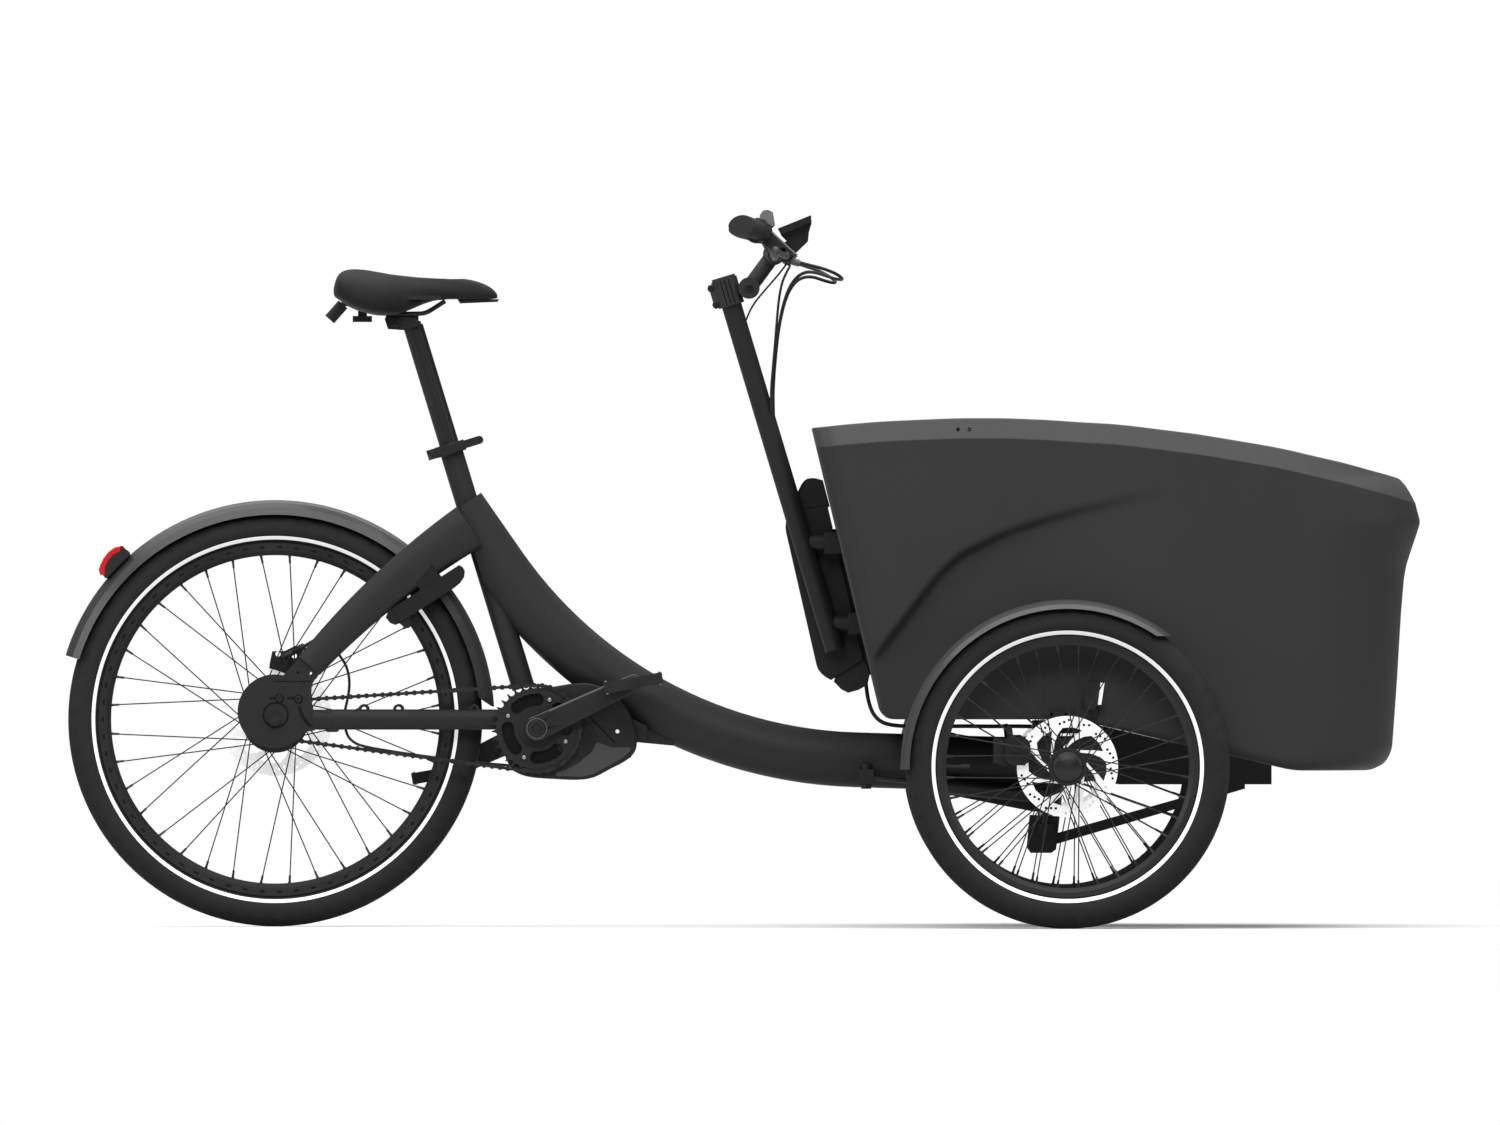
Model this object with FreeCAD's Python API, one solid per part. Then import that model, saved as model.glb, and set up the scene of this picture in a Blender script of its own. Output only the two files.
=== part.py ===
import FreeCAD, Part
import math
import os

# Cargo tricycle: one rear wheel, two front wheels, a cargo box carried on a
# front assembly that steers about a tilted kingpin, and a mid-drive motor.
# Units are millimetres. +X is forward, +Y is the rider's left, +Z is up.
# The origin is on the ground, under the middle of the whole tricycle.

V = FreeCAD.Vector

# ---------------------------------------------------------------- dimensions
REAR_X, REAR_R = -741.7, 329.2          # rear wheel centre and tyre radius
FRONT_X, FRONT_R = 514.8, 256.1         # front wheel centre and tyre radius
TRACK_HALF = 396.0                      # front wheel plane from the middle
REAR_TYRE_R, FRONT_TYRE_R = 25.0, 26.0  # tyre section radius
SPOKES = 36
SPOKE_R = 1.0
REAR_DISC_R, FRONT_DISC_R = 90.0, 80.0
DISC_T = 2.0
BB_X, BB_Z = -325.4, 314.8              # crank centre
CRANK_LEN, CRANK_ANG = 170.0, 25.4
RING_T, COG_T = 34, 14                  # chainring and sprocket teeth
PITCH = 12.7
CHAIN_Y = -62.0                         # chain line
LINKS = 90
POST_R, SEAT_TUBE_R = 15.8, 18.3
COLUMN_R = 15.9
TUBE_H, TUBE_W = 43.7, 33.0             # half height and half width of the main tube
KING_P = V(482.2, 0, 177.1)             # a point on the kingpin axis
KING_D = V(0.0995037, 0, 0.9950372)     # its direction
KING_R = 12.0
DAMPER_Y = -42.0
BOX_HALF_W = 345.0
BOX_WALL = 12.0
BAR_R = 11.1
RUN = 0.3                               # room between turning parts

YAX = V(0, 1, 0)
parts = {}


# ---------------------------------------------------------------- helpers
def cyl(p, d, r, h):
    return Part.makeCylinder(r, h, V(*p) if not isinstance(p, FreeCAD.Vector) else p,
                             V(*d) if not isinstance(d, FreeCAD.Vector) else d)


def poly(pts, y0, y1):
    """Closed outline in X, Z pushed from y0 to y1."""
    w = Part.makePolygon([V(x, y0, z) for x, z in pts] + [V(pts[0][0], y0, pts[0][1])])
    return Part.Face(w).extrude(V(0, y1 - y0, 0))


def smooth(pts, y0, y1):
    """Closed smooth outline in X, Z pushed from y0 to y1."""
    c = Part.BSplineCurve()
    c.interpolate([V(x, y0, z) for x, z in pts], PeriodicFlag=True)
    return Part.Face(Part.Wire([c.toShape()])).extrude(V(0, y1 - y0, 0))


def plan(pts, z0, z1):
    """Closed outline in X, Y pushed from z0 to z1."""
    w = Part.makePolygon([V(x, y, z0) for x, y in pts] + [V(pts[0][0], pts[0][1], z0)])
    return Part.Face(w).extrude(V(0, 0, z1 - z0))


def box(x0, x1, y0, y1, z0, z1):
    return Part.makeBox(x1 - x0, y1 - y0, z1 - z0, V(x0, y0, z0))


def spin(profile, cx, cy, cz, side=1.0, angle=360.0, start=0.0, sense=-1.0):
    """Turn a (w, r) outline about the line along Y through (cx, cy, cz).
    w runs along side * Y. start is the angle from +X towards +Z."""
    a = math.radians(start)
    pts = [V(cx + r * math.cos(a), cy + side * w, cz + r * math.sin(a)) for w, r in profile]
    face = Part.Face(Part.makePolygon(pts + [pts[0]]))
    return face.revolve(V(cx, cy, cz), V(0, sense, 0), angle)


def arc_pts(c, r, a0, a1, n):
    return [(c[0] + r * math.cos(math.radians(a0 + (a1 - a0) * i / n)),
             c[1] + r * math.sin(math.radians(a0 + (a1 - a0) * i / n))) for i in range(n + 1)]


def cord_wire(pts, share=0.45, report=None):
    """Straight runs joined by tangent arcs as large as the runs allow."""
    pts = [V(*p) for p in pts]
    edges, last, radii = [], pts[0], []
    for i in range(1, len(pts) - 1):
        a, b, c = pts[i - 1], pts[i], pts[i + 1]
        u, v = (a - b), (c - b)
        la, lc = u.Length, v.Length
        u, v = u / la, v / lc
        turn = math.pi - u.getAngle(v)
        t = share * min(la, lc)
        r = t / math.tan(turn / 2)
        radii.append(r)
        s, e = b + u * t, b + v * t
        bis = (u + v)
        bis.normalize()
        mid = b + bis * (r / math.cos(turn / 2) - r)
        edges.append(Part.LineSegment(last, s).toShape())
        edges.append(Part.Arc(s, mid, e).toShape())
        last = e
    edges.append(Part.LineSegment(last, pts[-1]).toShape())
    if report:
        print(report, "least radius %.1f" % min(radii) if radii else "")
    return Part.Wire(edges)


def tube_along(wire, r):
    p = wire.Edges[0].valueAt(wire.Edges[0].FirstParameter)
    t = wire.Edges[0].tangentAt(wire.Edges[0].FirstParameter)
    prof = Part.Wire([Part.Circle(p, t, r).toShape()])
    return wire.makePipeShell([prof], True, False)


def cord(pts, r, name=None):
    w = cord_wire(pts, report=name)
    s = tube_along(w, r)
    if name:
        print(name, "length %.0f volume ratio %.3f" % (w.Length, s.Volume / (math.pi * r * r * w.Length)))
    return s


def oval(c, t, up, h, w):
    """Oval wire at c across direction t, half height h along up, half width w."""
    t = t / t.Length
    up = up - t * up.dot(t)
    up.normalize()
    side = t.cross(up)
    if h >= w:
        e = Part.Ellipse(c + up * h, c + side * w, c)
    else:
        e = Part.Ellipse(c + side * w, c + up * h, c)
    return Part.Wire([e.toShape()])


def mirror_y(s):
    return s.mirror(V(0, 0, 0), V(0, 1, 0))


def group(*shapes):
    sol = []
    for s in shapes:
        sol += s.Solids
    return Part.makeCompound(sol)


def biggest(s):
    return max(s.Solids, key=lambda q: q.Volume)


def keep(name, shape):
    parts[name] = shape


# ---------------------------------------------------------------- wheels
def tyre(cx, cy, cz, R, rs, seat_r):
    n = 14
    c = (0.0, R - rs)
    a = math.degrees(math.acos(11.0 / rs))
    prof = [(11.0, seat_r + 0.8)] + arc_pts(c, rs, -a, 180 + a, 2 * n) + [(-11.0, seat_r + 0.8)]
    return spin(prof, cx, cy, cz)


def rim(cx, cy, cz, flange, inner, seat_r):
    prof = [(-15, flange), (-15, inner + 7), (-9, inner), (9, inner), (15, inner + 7), (15, flange),
            (12, flange), (12, seat_r), (-12, seat_r), (-12, flange)]
    return spin(prof, cx, cy, cz)


def spokes(cx, cy, cz, flange_r, flange_w, rim_r, side, phase=5.0):
    out = []
    step = 360.0 / SPOKES
    for f, w in ((0, flange_w[0]), (1, flange_w[1])):
        for j in range(SPOKES // 2):
            lead = j % 2 == 0
            h = 2 * step * j + step * f + phase
            rimang = h + (4 * step if lead else -4 * step)
            dw = 1.4 if lead else -1.4
            wr = (2.5 if w > 0 else -2.5) + dw
            a, b = math.radians(h), math.radians(rimang)
            p = V(cx + flange_r * math.cos(a), cy + side * (w + dw), cz + flange_r * math.sin(a))
            q = V(cx + rim_r * math.cos(b), cy + side * wr, cz + rim_r * math.sin(b))
            d = q - p
            out.append(Part.makeCylinder(SPOKE_R, d.Length, p, d))
    return Part.makeCompound(out)


def disc(cx, cy, cz, r, bore):
    d = cyl((cx, cy - DISC_T / 2, cz), YAX, r, DISC_T)
    d = d.cut(cyl((cx, cy - 3, cz), YAX, bore, 6))
    holes = []
    k = r / 80.0
    for i in range(8):                      # windows between the swept arms
        pts = []
        for rr, da in ((30.5, 46), (42.5, 29), (54, 16), (61.6, 7), (62.6, -8), (61.6, -22), (50, -14), (37, -1), (30.5, 17)):
            t = math.radians(45.0 * i + da)
            pts.append((cx + k * rr * math.cos(t), cz + k * rr * math.sin(t)))
        holes.append(poly(pts, cy - 3, cy + 3))
    for i in range(14):                     # small vents in the braking ring, three by three
        for rr, da in ((68.5, 6.0), (70.6, 0.0), (73.7, -6.0)):
            t = math.radians(360.0 / 14 * i + 17.0 + da)
            holes.append(cyl((cx + k * rr * math.cos(t), cy - 3, cz + k * rr * math.sin(t)), YAX, 2.1, 6))
    return d.cut(holes)


RZ, FZ = REAR_R, FRONT_R
R_SEAT, F_SEAT = 272.5, 198.5
keep("rear_tyre", tyre(REAR_X, 0, RZ, REAR_R, REAR_TYRE_R, R_SEAT))
keep("rear_rim", rim(REAR_X, 0, RZ, 281.0, 261.0, R_SEAT))
keep("rear_spokes", spokes(REAR_X, 0, RZ, 47.0, (30.0, -30.0), 263.0, 1.0))
rear_hub = spin([(-38, 6.2), (-38, 30), (-34, 30), (-34, 53), (-27, 53), (-24, 44), (24, 44), (27, 53),
                 (34, 53), (34, 30), (50.9, 26), (50.9, 6.2)], REAR_X, 0, RZ)
keep("rear_hub", rear_hub)
keep("rear_disc", disc(REAR_X, 52.0, RZ, REAR_DISC_R, 6.4))

HUB_PROF = [(-35.4, 10.3), (-35.4, 27), (-22, 24), (-22, 30), (-16, 30), (-13, 20), (13, 20), (16, 30), (22, 30),
            (22, 25)] + [(22 + 9.5 * math.sin(math.radians(t)), 25 * math.cos(math.radians(t)))
                         for t in (20, 40, 60, 75)] + [(31.5, 3.0), (31.5, 0.0), (18, 0.0), (18, 10.3)]
DISC_W = -36.6
for nm, sgn in (("right", -1.0), ("left", 1.0)):
    cy = sgn * TRACK_HALF
    keep(nm + "_front_tyre", tyre(FRONT_X, cy, FZ, FRONT_R, FRONT_TYRE_R, F_SEAT))
    keep(nm + "_front_rim", rim(FRONT_X, cy, FZ, 207.0, 192.0, F_SEAT))
    keep(nm + "_front_spokes", spokes(FRONT_X, cy, FZ, 26.0, (19.0, -19.0), 193.5, sgn))
    hub = spin(HUB_PROF, FRONT_X, cy, FZ, side=sgn)
    keep(nm + "_front_hub", group(hub, disc(FRONT_X, cy + sgn * DISC_W, FZ, FRONT_DISC_R, 10.6)))

# ---------------------------------------------------------------- rear frame
M_P0, M_VX, M_P2 = V(-450.3, 0, 664.8), V(-180.0, 0, 276.0), V(487.0, 0, 255.6)
u = (M_P0 - M_VX)
w = (M_P2 - M_VX)
u, w = u / u.Length, w / w.Length
turn = math.pi - u.getAngle(w)
T_LEN = 360.0
rad = T_LEN / math.tan(turn / 2)
bis = u + w
bis.normalize()
a0, a1 = M_VX + u * T_LEN, M_VX + w * T_LEN
amid = M_VX + bis * (rad / math.cos(turn / 2) - rad)
main_path = Part.Wire([Part.LineSegment(M_P0, a0).toShape(), Part.Arc(a0, amid, a1).toShape(),
                       Part.LineSegment(a1, M_P2).toShape()])
main_tube = main_path.makePipeShell([oval(M_P0, a0 - M_P0, V(0.8, 0, 0.6), TUBE_H, TUBE_W)], True, False)

ST_B, ST_T = V(-347.0, 0, 379.0), V(-463.9, 0, 762.3)
ST_D = (ST_T - ST_B) / (ST_T - ST_B).Length     # seat tube direction
seat_outer = Part.makeCylinder(SEAT_TUBE_R, (ST_T - ST_B).Length, ST_B, ST_D)
seat_tube = seat_outer.cut(Part.makeCylinder(POST_R + 0.06, 330.0, ST_T - ST_D * 320.0, ST_D))
keep("seat_tube", seat_tube)

king_outer = Part.makeCylinder(24.0, 400.0, KING_P - KING_D * 100, KING_D)
rear_n = V(-ST_D.z, 0, ST_D.x)           # the main tube ends within the seat tube's rear edge
b0, b1 = ST_B + rear_n * 12.0 - ST_D * 60, ST_T + rear_n * 12.0 + ST_D * 60
b2, b3 = b1 + rear_n * 200.0, b0 + rear_n * 200.0
behind = poly([(q.x, q.z) for q in (b0, b1, b2, b3)], -80, 80)
main_tube = biggest(main_tube.cut(behind).cut(seat_outer).cut(king_outer))
motor_gusset = poly([(-169, 336), (-104, 300), (-109, 287.4), (-167, 292.9)], -16, 16)
main_tube = main_tube.fuse(biggest(motor_gusset.cut(main_tube))).removeSplitter()
keep("main_tube", main_tube)

H0, H1 = 4.0, 125.6                     # head tube span along the kingpin axis
head = Part.makeCylinder(24.0, H1 - H0, KING_P + KING_D * H0, KING_D)
gus = poly([(285, 226), (300, 215), (459, 183.5), (470, 183.5), (474, 236), (400, 240)], -14, 14)
head = head.fuse(gus.cut(main_tube))
head = head.cut(Part.makeCylinder(14.0, 200, KING_P - KING_D * 20, KING_D))
head = head.cut(Part.makeCylinder(18.0, 12.0, KING_P + KING_D * H0, KING_D))
head = head.cut(Part.makeCylinder(18.0, 12.0, KING_P + KING_D * (H1 - 12), KING_D))
keep("head_tube", biggest(head))
bear = []
for s in (H0, H1 - 12):
    b = Part.makeCylinder(18.0, 12.0, KING_P + KING_D * s, KING_D)
    bear.append(b.cut(Part.makeCylinder(KING_R + 0.08, 40.0, KING_P + KING_D * (s - 10), KING_D)))
keep("kingpin_bearings", Part.makeCompound(bear))

# motor
MOTOR = [(-381.5, 340), (-371, 361), (-345, 374), (-312, 373), (-284, 366), (-262, 347), (-238, 329), (-214, 310),
         (-190, 298), (-172, 296), (-170.5, 286), (-176, 269), (-215, 248.5), (-250, 238), (-327, 240),
         (-360.5, 250), (-381.5, 289)]
motor = poly(MOTOR, -46, 46)
spindle_hole = cyl((BB_X, -100, BB_Z), YAX, 14.0 + RUN, 200)
motor = biggest(motor.cut(main_tube).cut(seat_outer).cut(spindle_hole))
keep("motor_unit", motor)
COVER = [(-386, 315), (-383, 341), (-370, 362), (-345, 375), (-318, 379), (-294, 382), (-262, 387), (-240, 386),
         (-216, 377.5), (-190.4, 356.8), (-173.5, 328), (-167.2, 300), (-169.5, 279), (-183, 264.6), (-209, 250.5),
         (-236, 237), (-256, 233.5), (-296, 234.5), (-327, 236.5), (-362, 248), (-380, 285)]
cov = smooth(COVER, -55.5, -46)
edge = [e for e in cov.Edges if abs(e.BoundBox.YMin + 55.5) < 0.01 and abs(e.BoundBox.YMax + 55.5) < 0.01]
cov = biggest(cov.makeFillet(3.0, edge))
cov = cov.cut([cyl((BB_X, -100, BB_Z), YAX, 24.0, 200), cyl((-197.7, -100, 310), YAX, 3.2, 200)])
cov_l = mirror_y(cov)
keep("motor_cover", group(cov, cov_l))

# stays and dropouts
drop_c = (-741.8, 342.2)
WEB = [(-727.5, 400.2), (-711.3, 417.5), (-702.5, 429.5), (-685, 424), (-663.1, 411.7), (-674.6, 398), (-682.7, 384.1), (-683.8, 363.5),
       (-680.3, 346.3), (-679.2, 311.5), (-690.6, 310), (-740.6, 336.1)]
TONGUE = [(-698, 424), (-677.4, 443.3), (-659.6, 427.3), (-680, 405)]       # into the upper stay
TAIL = [(-684, 342), (-655, 342), (-655, 316), (-684, 316)]                 # into the chain stay
plates = []
for sgn in (-1.0, 1.0):
    d = cyl((drop_c[0], sgn * 72 - 3, drop_c[1]), YAX, 58.8, 6)
    for o in (WEB, TONGUE, TAIL):
        d = d.fuse(poly(o, sgn * 72 - 3, sgn * 72 + 3))
    d = d.removeSplitter()
    d = d.cut([cyl((REAR_X, sgn * 72 - 5, RZ), YAX, 5.9, 10),
               cyl((-734, sgn * 72 - 5, 363), YAX, 4.0, 10), cyl((-704, sgn * 72 - 5, 361.6), YAX, 4.0, 10),
               cyl((-704.4, sgn * 72 - 5, 403.7), YAX, 2.4, 10), cyl((-684.9, sgn * 72 - 5, 402.6), YAX, 2.4, 10)])
    plates.append(d)
cs = []
for sgn, pl in zip((-1.0, 1.0), plates):
    p, q = V(-378, sgn * 44, 329), V(-681, sgn * 70, 329)
    wr = Part.Wire([Part.LineSegment(p, q).toShape()])
    s = wr.makePipeShell([oval(p, q - p, V(0, 0, 1), 16, 9)], True, False)
    s = biggest(s.cut(motor).cut(cov).cut(cov_l).cut(pl))
    cs += [s, pl]
keep("chain_stays", Part.makeCompound(cs))

us = []
for sgn, pl in zip((-1.0, 1.0), plates):
    p, m, q = V(-433, sgn * 42, 635.5), V(-575, sgn * 55, 527.2), V(-687.3, sgn * 69.5, 414.5)
    wr = Part.Wire([Part.Arc(p, m, q).toShape()])
    e = wr.Edges[0]
    t0, t1 = e.tangentAt(e.FirstParameter), e.tangentAt(e.LastParameter)
    s = wr.makePipeShell([oval(p, t0, V(0, 0, 1), 37.5, 13), oval(q, t1, V(0, 0, 1), 22, 10)], True, False)
    s = biggest(s.cut(main_tube).cut(seat_outer).cut(pl))
    us.append(s)
keep("upper_stays", Part.makeCompound(us))

# rear axle with its nuts
ax = cyl((REAR_X, -88, RZ), YAX, 5.9, 176)
for sgn in (-1.0, 1.0):
    hexa = [(REAR_X + 11 * math.cos(math.radians(60 * i)), RZ + 11 * math.sin(math.radians(60 * i))) for i in range(6)]
    ax = ax.fuse(poly(hexa, sgn * 75 if sgn > 0 else -85, 85 if sgn > 0 else -75))
keep("rear_axle", ax)

# rear mudguard
def guard(cx, cy, cz, r_top, r_edge, half, t, a0, a1):
    n = 8
    out_, in_ = [], []
    for i in range(n + 1):
        s = -1 + 2.0 * i / n
        out_.append((half * s, r_edge + (r_top - r_edge) * (1 - abs(s) ** 2.4)))
        in_.append(((half - t) * s, r_edge + (r_top - t - r_edge) * (1 - abs(s) ** 2.4)))
    return spin(out_ + in_[::-1], cx, cy, cz, angle=a1 - a0, start=a0)


rear_fender = guard(REAR_X, 0, RZ, 348.7, 325.5, 31.0, 2.2, 3.4, 163.0)
rear_fender = biggest(rear_fender.cut(poly([(-440, 378.3), (-385, 341.5), (-385, 300), (-440, 300)], -60, 60)))
keep("rear_fender", rear_fender)

# tail light, stood on the mudguard's crown

def slab(o, ux, uz, x0, x1, y0, y1, z0, z1):
    pts = [o + ux * x0 + uz * z0 + YAX * y0, o + ux * x1 + uz * z0 + YAX * y0,
           o + ux * x1 + uz * z1 + YAX * y0, o + ux * x0 + uz * z1 + YAX * y0]
    return Part.Face(Part.makePolygon(pts + [pts[0]])).extrude(YAX * (y1 - y0))


TL_IN = [(-980.0, 600.1), (-989.2, 596.1), (-999.4, 591.5), (-1007.2, 582.3), (-1012.3, 571.9), (-1014.8, 557.6)]
tl_lens = poly([(-1019.9, 559.2), (-1022.4, 566.8), (-1019.9, 574.5), (-1014.8, 584.8), (-1007.2, 595.0), (-996.9, 602.8),
                (-984.1, 605.3)] + TL_IN, -22, 22)
tl_body = poly(TL_IN + [(-1012.3, 553.9), (-1002, 552), (-978, 578), (-971, 586), (-973.5, 595.5)], -22, 22)
tl_body = biggest(tl_body.cut(rear_fender).cut(cyl((REAR_X, -40, RZ), YAX, 348.0, 80)))
keep("tail_light", group(tl_body, tl_lens))

# ring lock below the upper stays, straddling the tyre
la = math.radians(33.0)
lk_r, lk_t = V(math.cos(la), 0, math.sin(la)), V(-math.sin(la), 0, math.cos(la))
lk_o = V(REAR_X, 0, RZ)


def lock_poly(pts, y0, y1):
    """Outline in the lock's own directions pushed from y0 to y1."""
    q = [lk_o + lk_r * i + lk_t * j for i, j in pts]
    return poly([(v.x, v.z) for v in q], y0, y1)


lock = lock_poly([(252, 20.5), (352, 20.5), (365, 22), (375, 26.5), (381, 34), (381.5, 41), (378.5, 46.5), (252, 46.5)], -60, 60)
lock = lock.cut(slab(lk_o, lk_r, lk_t, 200, 362, -36, 36, 0, 80))
LUG = [(236, 40), (237, 29), (242, 22), (249, 20.5), (253, 8), (258, 6), (264, 10), (266, 24), (266, 46.5), (245, 46.5)]
for sgn in (-1.0, 1.0):
    lock = lock.fuse(lock_poly(LUG, 38 if sgn > 0 else -57, 57 if sgn > 0 else -38))
    lock = lock.fuse(slab(lk_o, lk_r, lk_t, 306, 344, sgn * 52 - 6, sgn * 52 + 6, 42, 75))
lock = lock.removeSplitter()
lock = lock.cut(Part.makeCompound(us)).cut(main_tube)
lock = biggest(lock)
keep("ring_lock", lock)

# rear brake caliper, left side
CAL_R = [(-747, 437.5), (-727, 438), (-719, 442), (-711, 446), (-705, 446), (-699, 440), (-696, 418), (-700, 401), (-726, 402),
         (-742, 407.5), (-751.7, 410), (-751, 419)]
cal = poly(CAL_R, 40.5, 69.0).fuse(box(-726, -701, 40.5, 69.0, 384, 404))
cal = cal.cut(cyl((REAR_X, 49.5, RZ), YAX, REAR_DISC_R + 2.0, 5.0))
cal = cal.cut([cyl((-738, 40, 433), YAX, 4.2, 40), cyl((-712, 40, 430), YAX, 4.2, 40)])
cal = biggest(cal.cut(us[1]))
keep("rear_caliper", cal)

# hoses on the rear frame
hose = cord([(-704, 57, 440), (-689, 57.5, 450.5), (-672, 57, 459), (-653, 58, 467), (-636, 60.5, 477.5)],
            2.5, "rear brake hose")
gearc = cord([(-645, 64.5, 437), (-634, 66.5, 423), (-626.5, 69, 406), (-624, 74.5, 385), (-627, 80.5, 363), (-632.5, 85, 341),
              (-632, 85, 319), (-628, 81, 302), (-616, 75.5, 290.5), (-598, 70.5, 285), (-570, 65.5, 280),
              (-528, 59.5, 273.6), (-476, 53, 266.5), (-424, 47, 260), (-384, 41.5, 257), (-356, 37, 254.5)],
             2.2, "gear cable at the rear")
keep("rear_hoses", group(hose, gearc))

# chain
r1, r2 = PITCH / (2 * math.sin(math.pi / RING_T)), PITCH / (2 * math.sin(math.pi / COG_T))
c1, c2 = (BB_X, BB_Z), (REAR_X, RZ)
dx, dz = c2[0] - c1[0], c2[1] - c1[1]
C = math.hypot(dx, dz)
base = math.atan2(dz, dx)
phi = math.acos((r1 - r2) / C)
up_a, dn_a = base - phi, base + phi     # tangent angles above and below


def loop_point(s):
    """Point at length s along the pitch line, and it runs: upper run to the
    sprocket, round it, lower run to the chainring, round it."""
    run = math.sqrt(C * C - (r1 - r2) ** 2)
    w2 = 2 * phi
    w1 = 2 * (math.pi - phi)
    A = (c1[0] + r1 * math.cos(up_a), c1[1] + r1 * math.sin(up_a))
    B = (c2[0] + r2 * math.cos(up_a), c2[1] + r2 * math.sin(up_a))
    D = (c1[0] + r1 * math.cos(dn_a), c1[1] + r1 * math.sin(dn_a))
    E = (c2[0] + r2 * math.cos(dn_a), c2[1] + r2 * math.sin(dn_a))
    total = 2 * run + r2 * w2 + r1 * w1
    s = s % total
    if s < run:
        k = s / run
        return (A[0] + (B[0] - A[0]) * k, A[1] + (B[1] - A[1]) * k), total
    s -= run
    if s < r2 * w2:
        a = up_a + s / r2
        return (c2[0] + r2 * math.cos(a), c2[1] + r2 * math.sin(a)), total
    s -= r2 * w2
    if s < run:
        k = s / run
        return (E[0] + (D[0] - E[0]) * k, E[1] + (D[1] - E[1]) * k), total
    s -= run
    a = dn_a + s / r1
    return (c1[0] + r1 * math.cos(a), c1[1] + r1 * math.sin(a)), total


total = loop_point(0)[1]
pins = [loop_point(total * i / LINKS)[0] for i in range(LINKS)]


def link(p, q, outer):
    d = V(q[0] - p[0], 0, q[1] - p[1])
    L = d.Length
    d = d / L
    n = V(-d.z, 0, d.x)
    ys = ((2.95, 3.85), (-3.85, -2.95)) if outer else ((1.75, 2.65), (-2.65, -1.75))
    hh = 4.1
    out = None
    P, Q = V(p[0], CHAIN_Y, p[1]), V(q[0], CHAIN_Y, q[1])
    for y0, y1 in ys:
        o = V(0, y0, 0)
        nn, dd = n * 2.4, d * math.sqrt(hh * hh - 2.4 * 2.4)
        e = [Part.LineSegment(P + dd + nn + o, Q - dd + nn + o).toShape(),
             Part.Arc(Q - dd + nn + o, Q + d * hh + o, Q - dd - nn + o).toShape(),
             Part.LineSegment(Q - dd - nn + o, P + dd - nn + o).toShape(),
             Part.Arc(P + dd - nn + o, P - d * hh + o, P + dd + nn + o).toShape()]
        pl = Part.Face(Part.Wire(e)).extrude(V(0, y1 - y0, 0))
        if not outer:
            pl = pl.cut([Part.makeCylinder(2.2, 12, P - YAX * 6, YAX), Part.makeCylinder(2.2, 12, Q - YAX * 6, YAX)])
        out = pl if out is None else out.fuse(pl)
    for c in (P, Q):
        if outer:
            out = out.fuse(Part.makeCylinder(1.8, 8.2, c - YAX * 4.1, YAX))
        else:
            rl = Part.makeCylinder(3.6, 3.6, c - YAX * 1.8, YAX).cut(Part.makeCylinder(2.2, 12, c - YAX * 6, YAX))
            out = out.fuse(rl)
    return biggest(out)


links = [link(pins[i], pins[(i + 1) % LINKS], i % 2 == 0) for i in range(LINKS)]
keep("chain", Part.makeCompound(links))


def toothed(c, teeth, pitch_r, t, y, bore, phase_pt):
    ph = math.atan2(phase_pt[1] - c[1], phase_pt[0] - c[0])
    d = cyl((c[0], y - t / 2, c[1]), YAX, pitch_r + 3.2, t)
    d = d.cut(cyl((c[0], y - 5, c[1]), YAX, bore, 10))
    cuts = []
    for i in range(teeth):
        a = ph + 2 * math.pi * i / teeth
        ca_, sa_ = math.cos(a), math.sin(a)
        gx, gz = c[0] + pitch_r * ca_, c[1] + pitch_r * sa_
        cuts.append(cyl((gx, y - 5, gz), YAX, 4.6, 10))
        q = [(gx + ca_ * rr - sa_ * tt, gz + sa_ * rr + ca_ * tt)
             for rr, tt in ((-0.5, -4.55), (-0.5, 4.55), (6.0, 7.2), (6.0, -7.2))]
        cuts.append(poly(q, y - 5, y + 5))
    return d.cut(cuts)


def mid_wrap(c):
    far = [p for p in pins if abs(math.hypot(p[0] - c[0], p[1] - c[1]) - (r1 if c == c1 else r2)) < 0.05]
    side = 1 if c == c1 else -1
    return max(far, key=lambda p: side * p[0])


# sprocket and its driver
cog = toothed(c2, COG_T, r2, 2.0, CHAIN_Y, 20.0, mid_wrap(c2))
drv = cyl((REAR_X, -66, RZ), YAX, 20.5, 26.0).cut(cyl((REAR_X, -70, RZ), YAX, 6.2, 40))
keep("sprocket", cog.fuse(drv).removeSplitter())

# chainring
cr = toothed(c1, RING_T, r1, 2.0, CHAIN_Y, 14.0, mid_wrap(c1))
wins = []
for i in range(4):
    a = math.radians(90 * i + 21)
    for k in (-2, -1, 0, 1, 2):
        b = a + k * math.radians(11)
        wins.append(cyl((BB_X + 46 * math.cos(b), CHAIN_Y - 5, BB_Z + 46 * math.sin(b)), YAX, 10.0, 10))
cr = cr.cut(wins)
boss = cyl((BB_X, -70, BB_Z), YAX, 27, 7.0).cut(cyl((BB_X, -90, BB_Z), YAX, 14.0, 60))
bolts = []
for i in range(4):
    a = math.radians(90 * i + 66)
    bolts.append(cyl((BB_X + 50 * math.cos(a), -65.0, BB_Z + 50 * math.sin(a)), YAX, 4.0, 2.0))
keep("chainring", group(cr.fuse(boss).fuse(bolts)))

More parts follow.
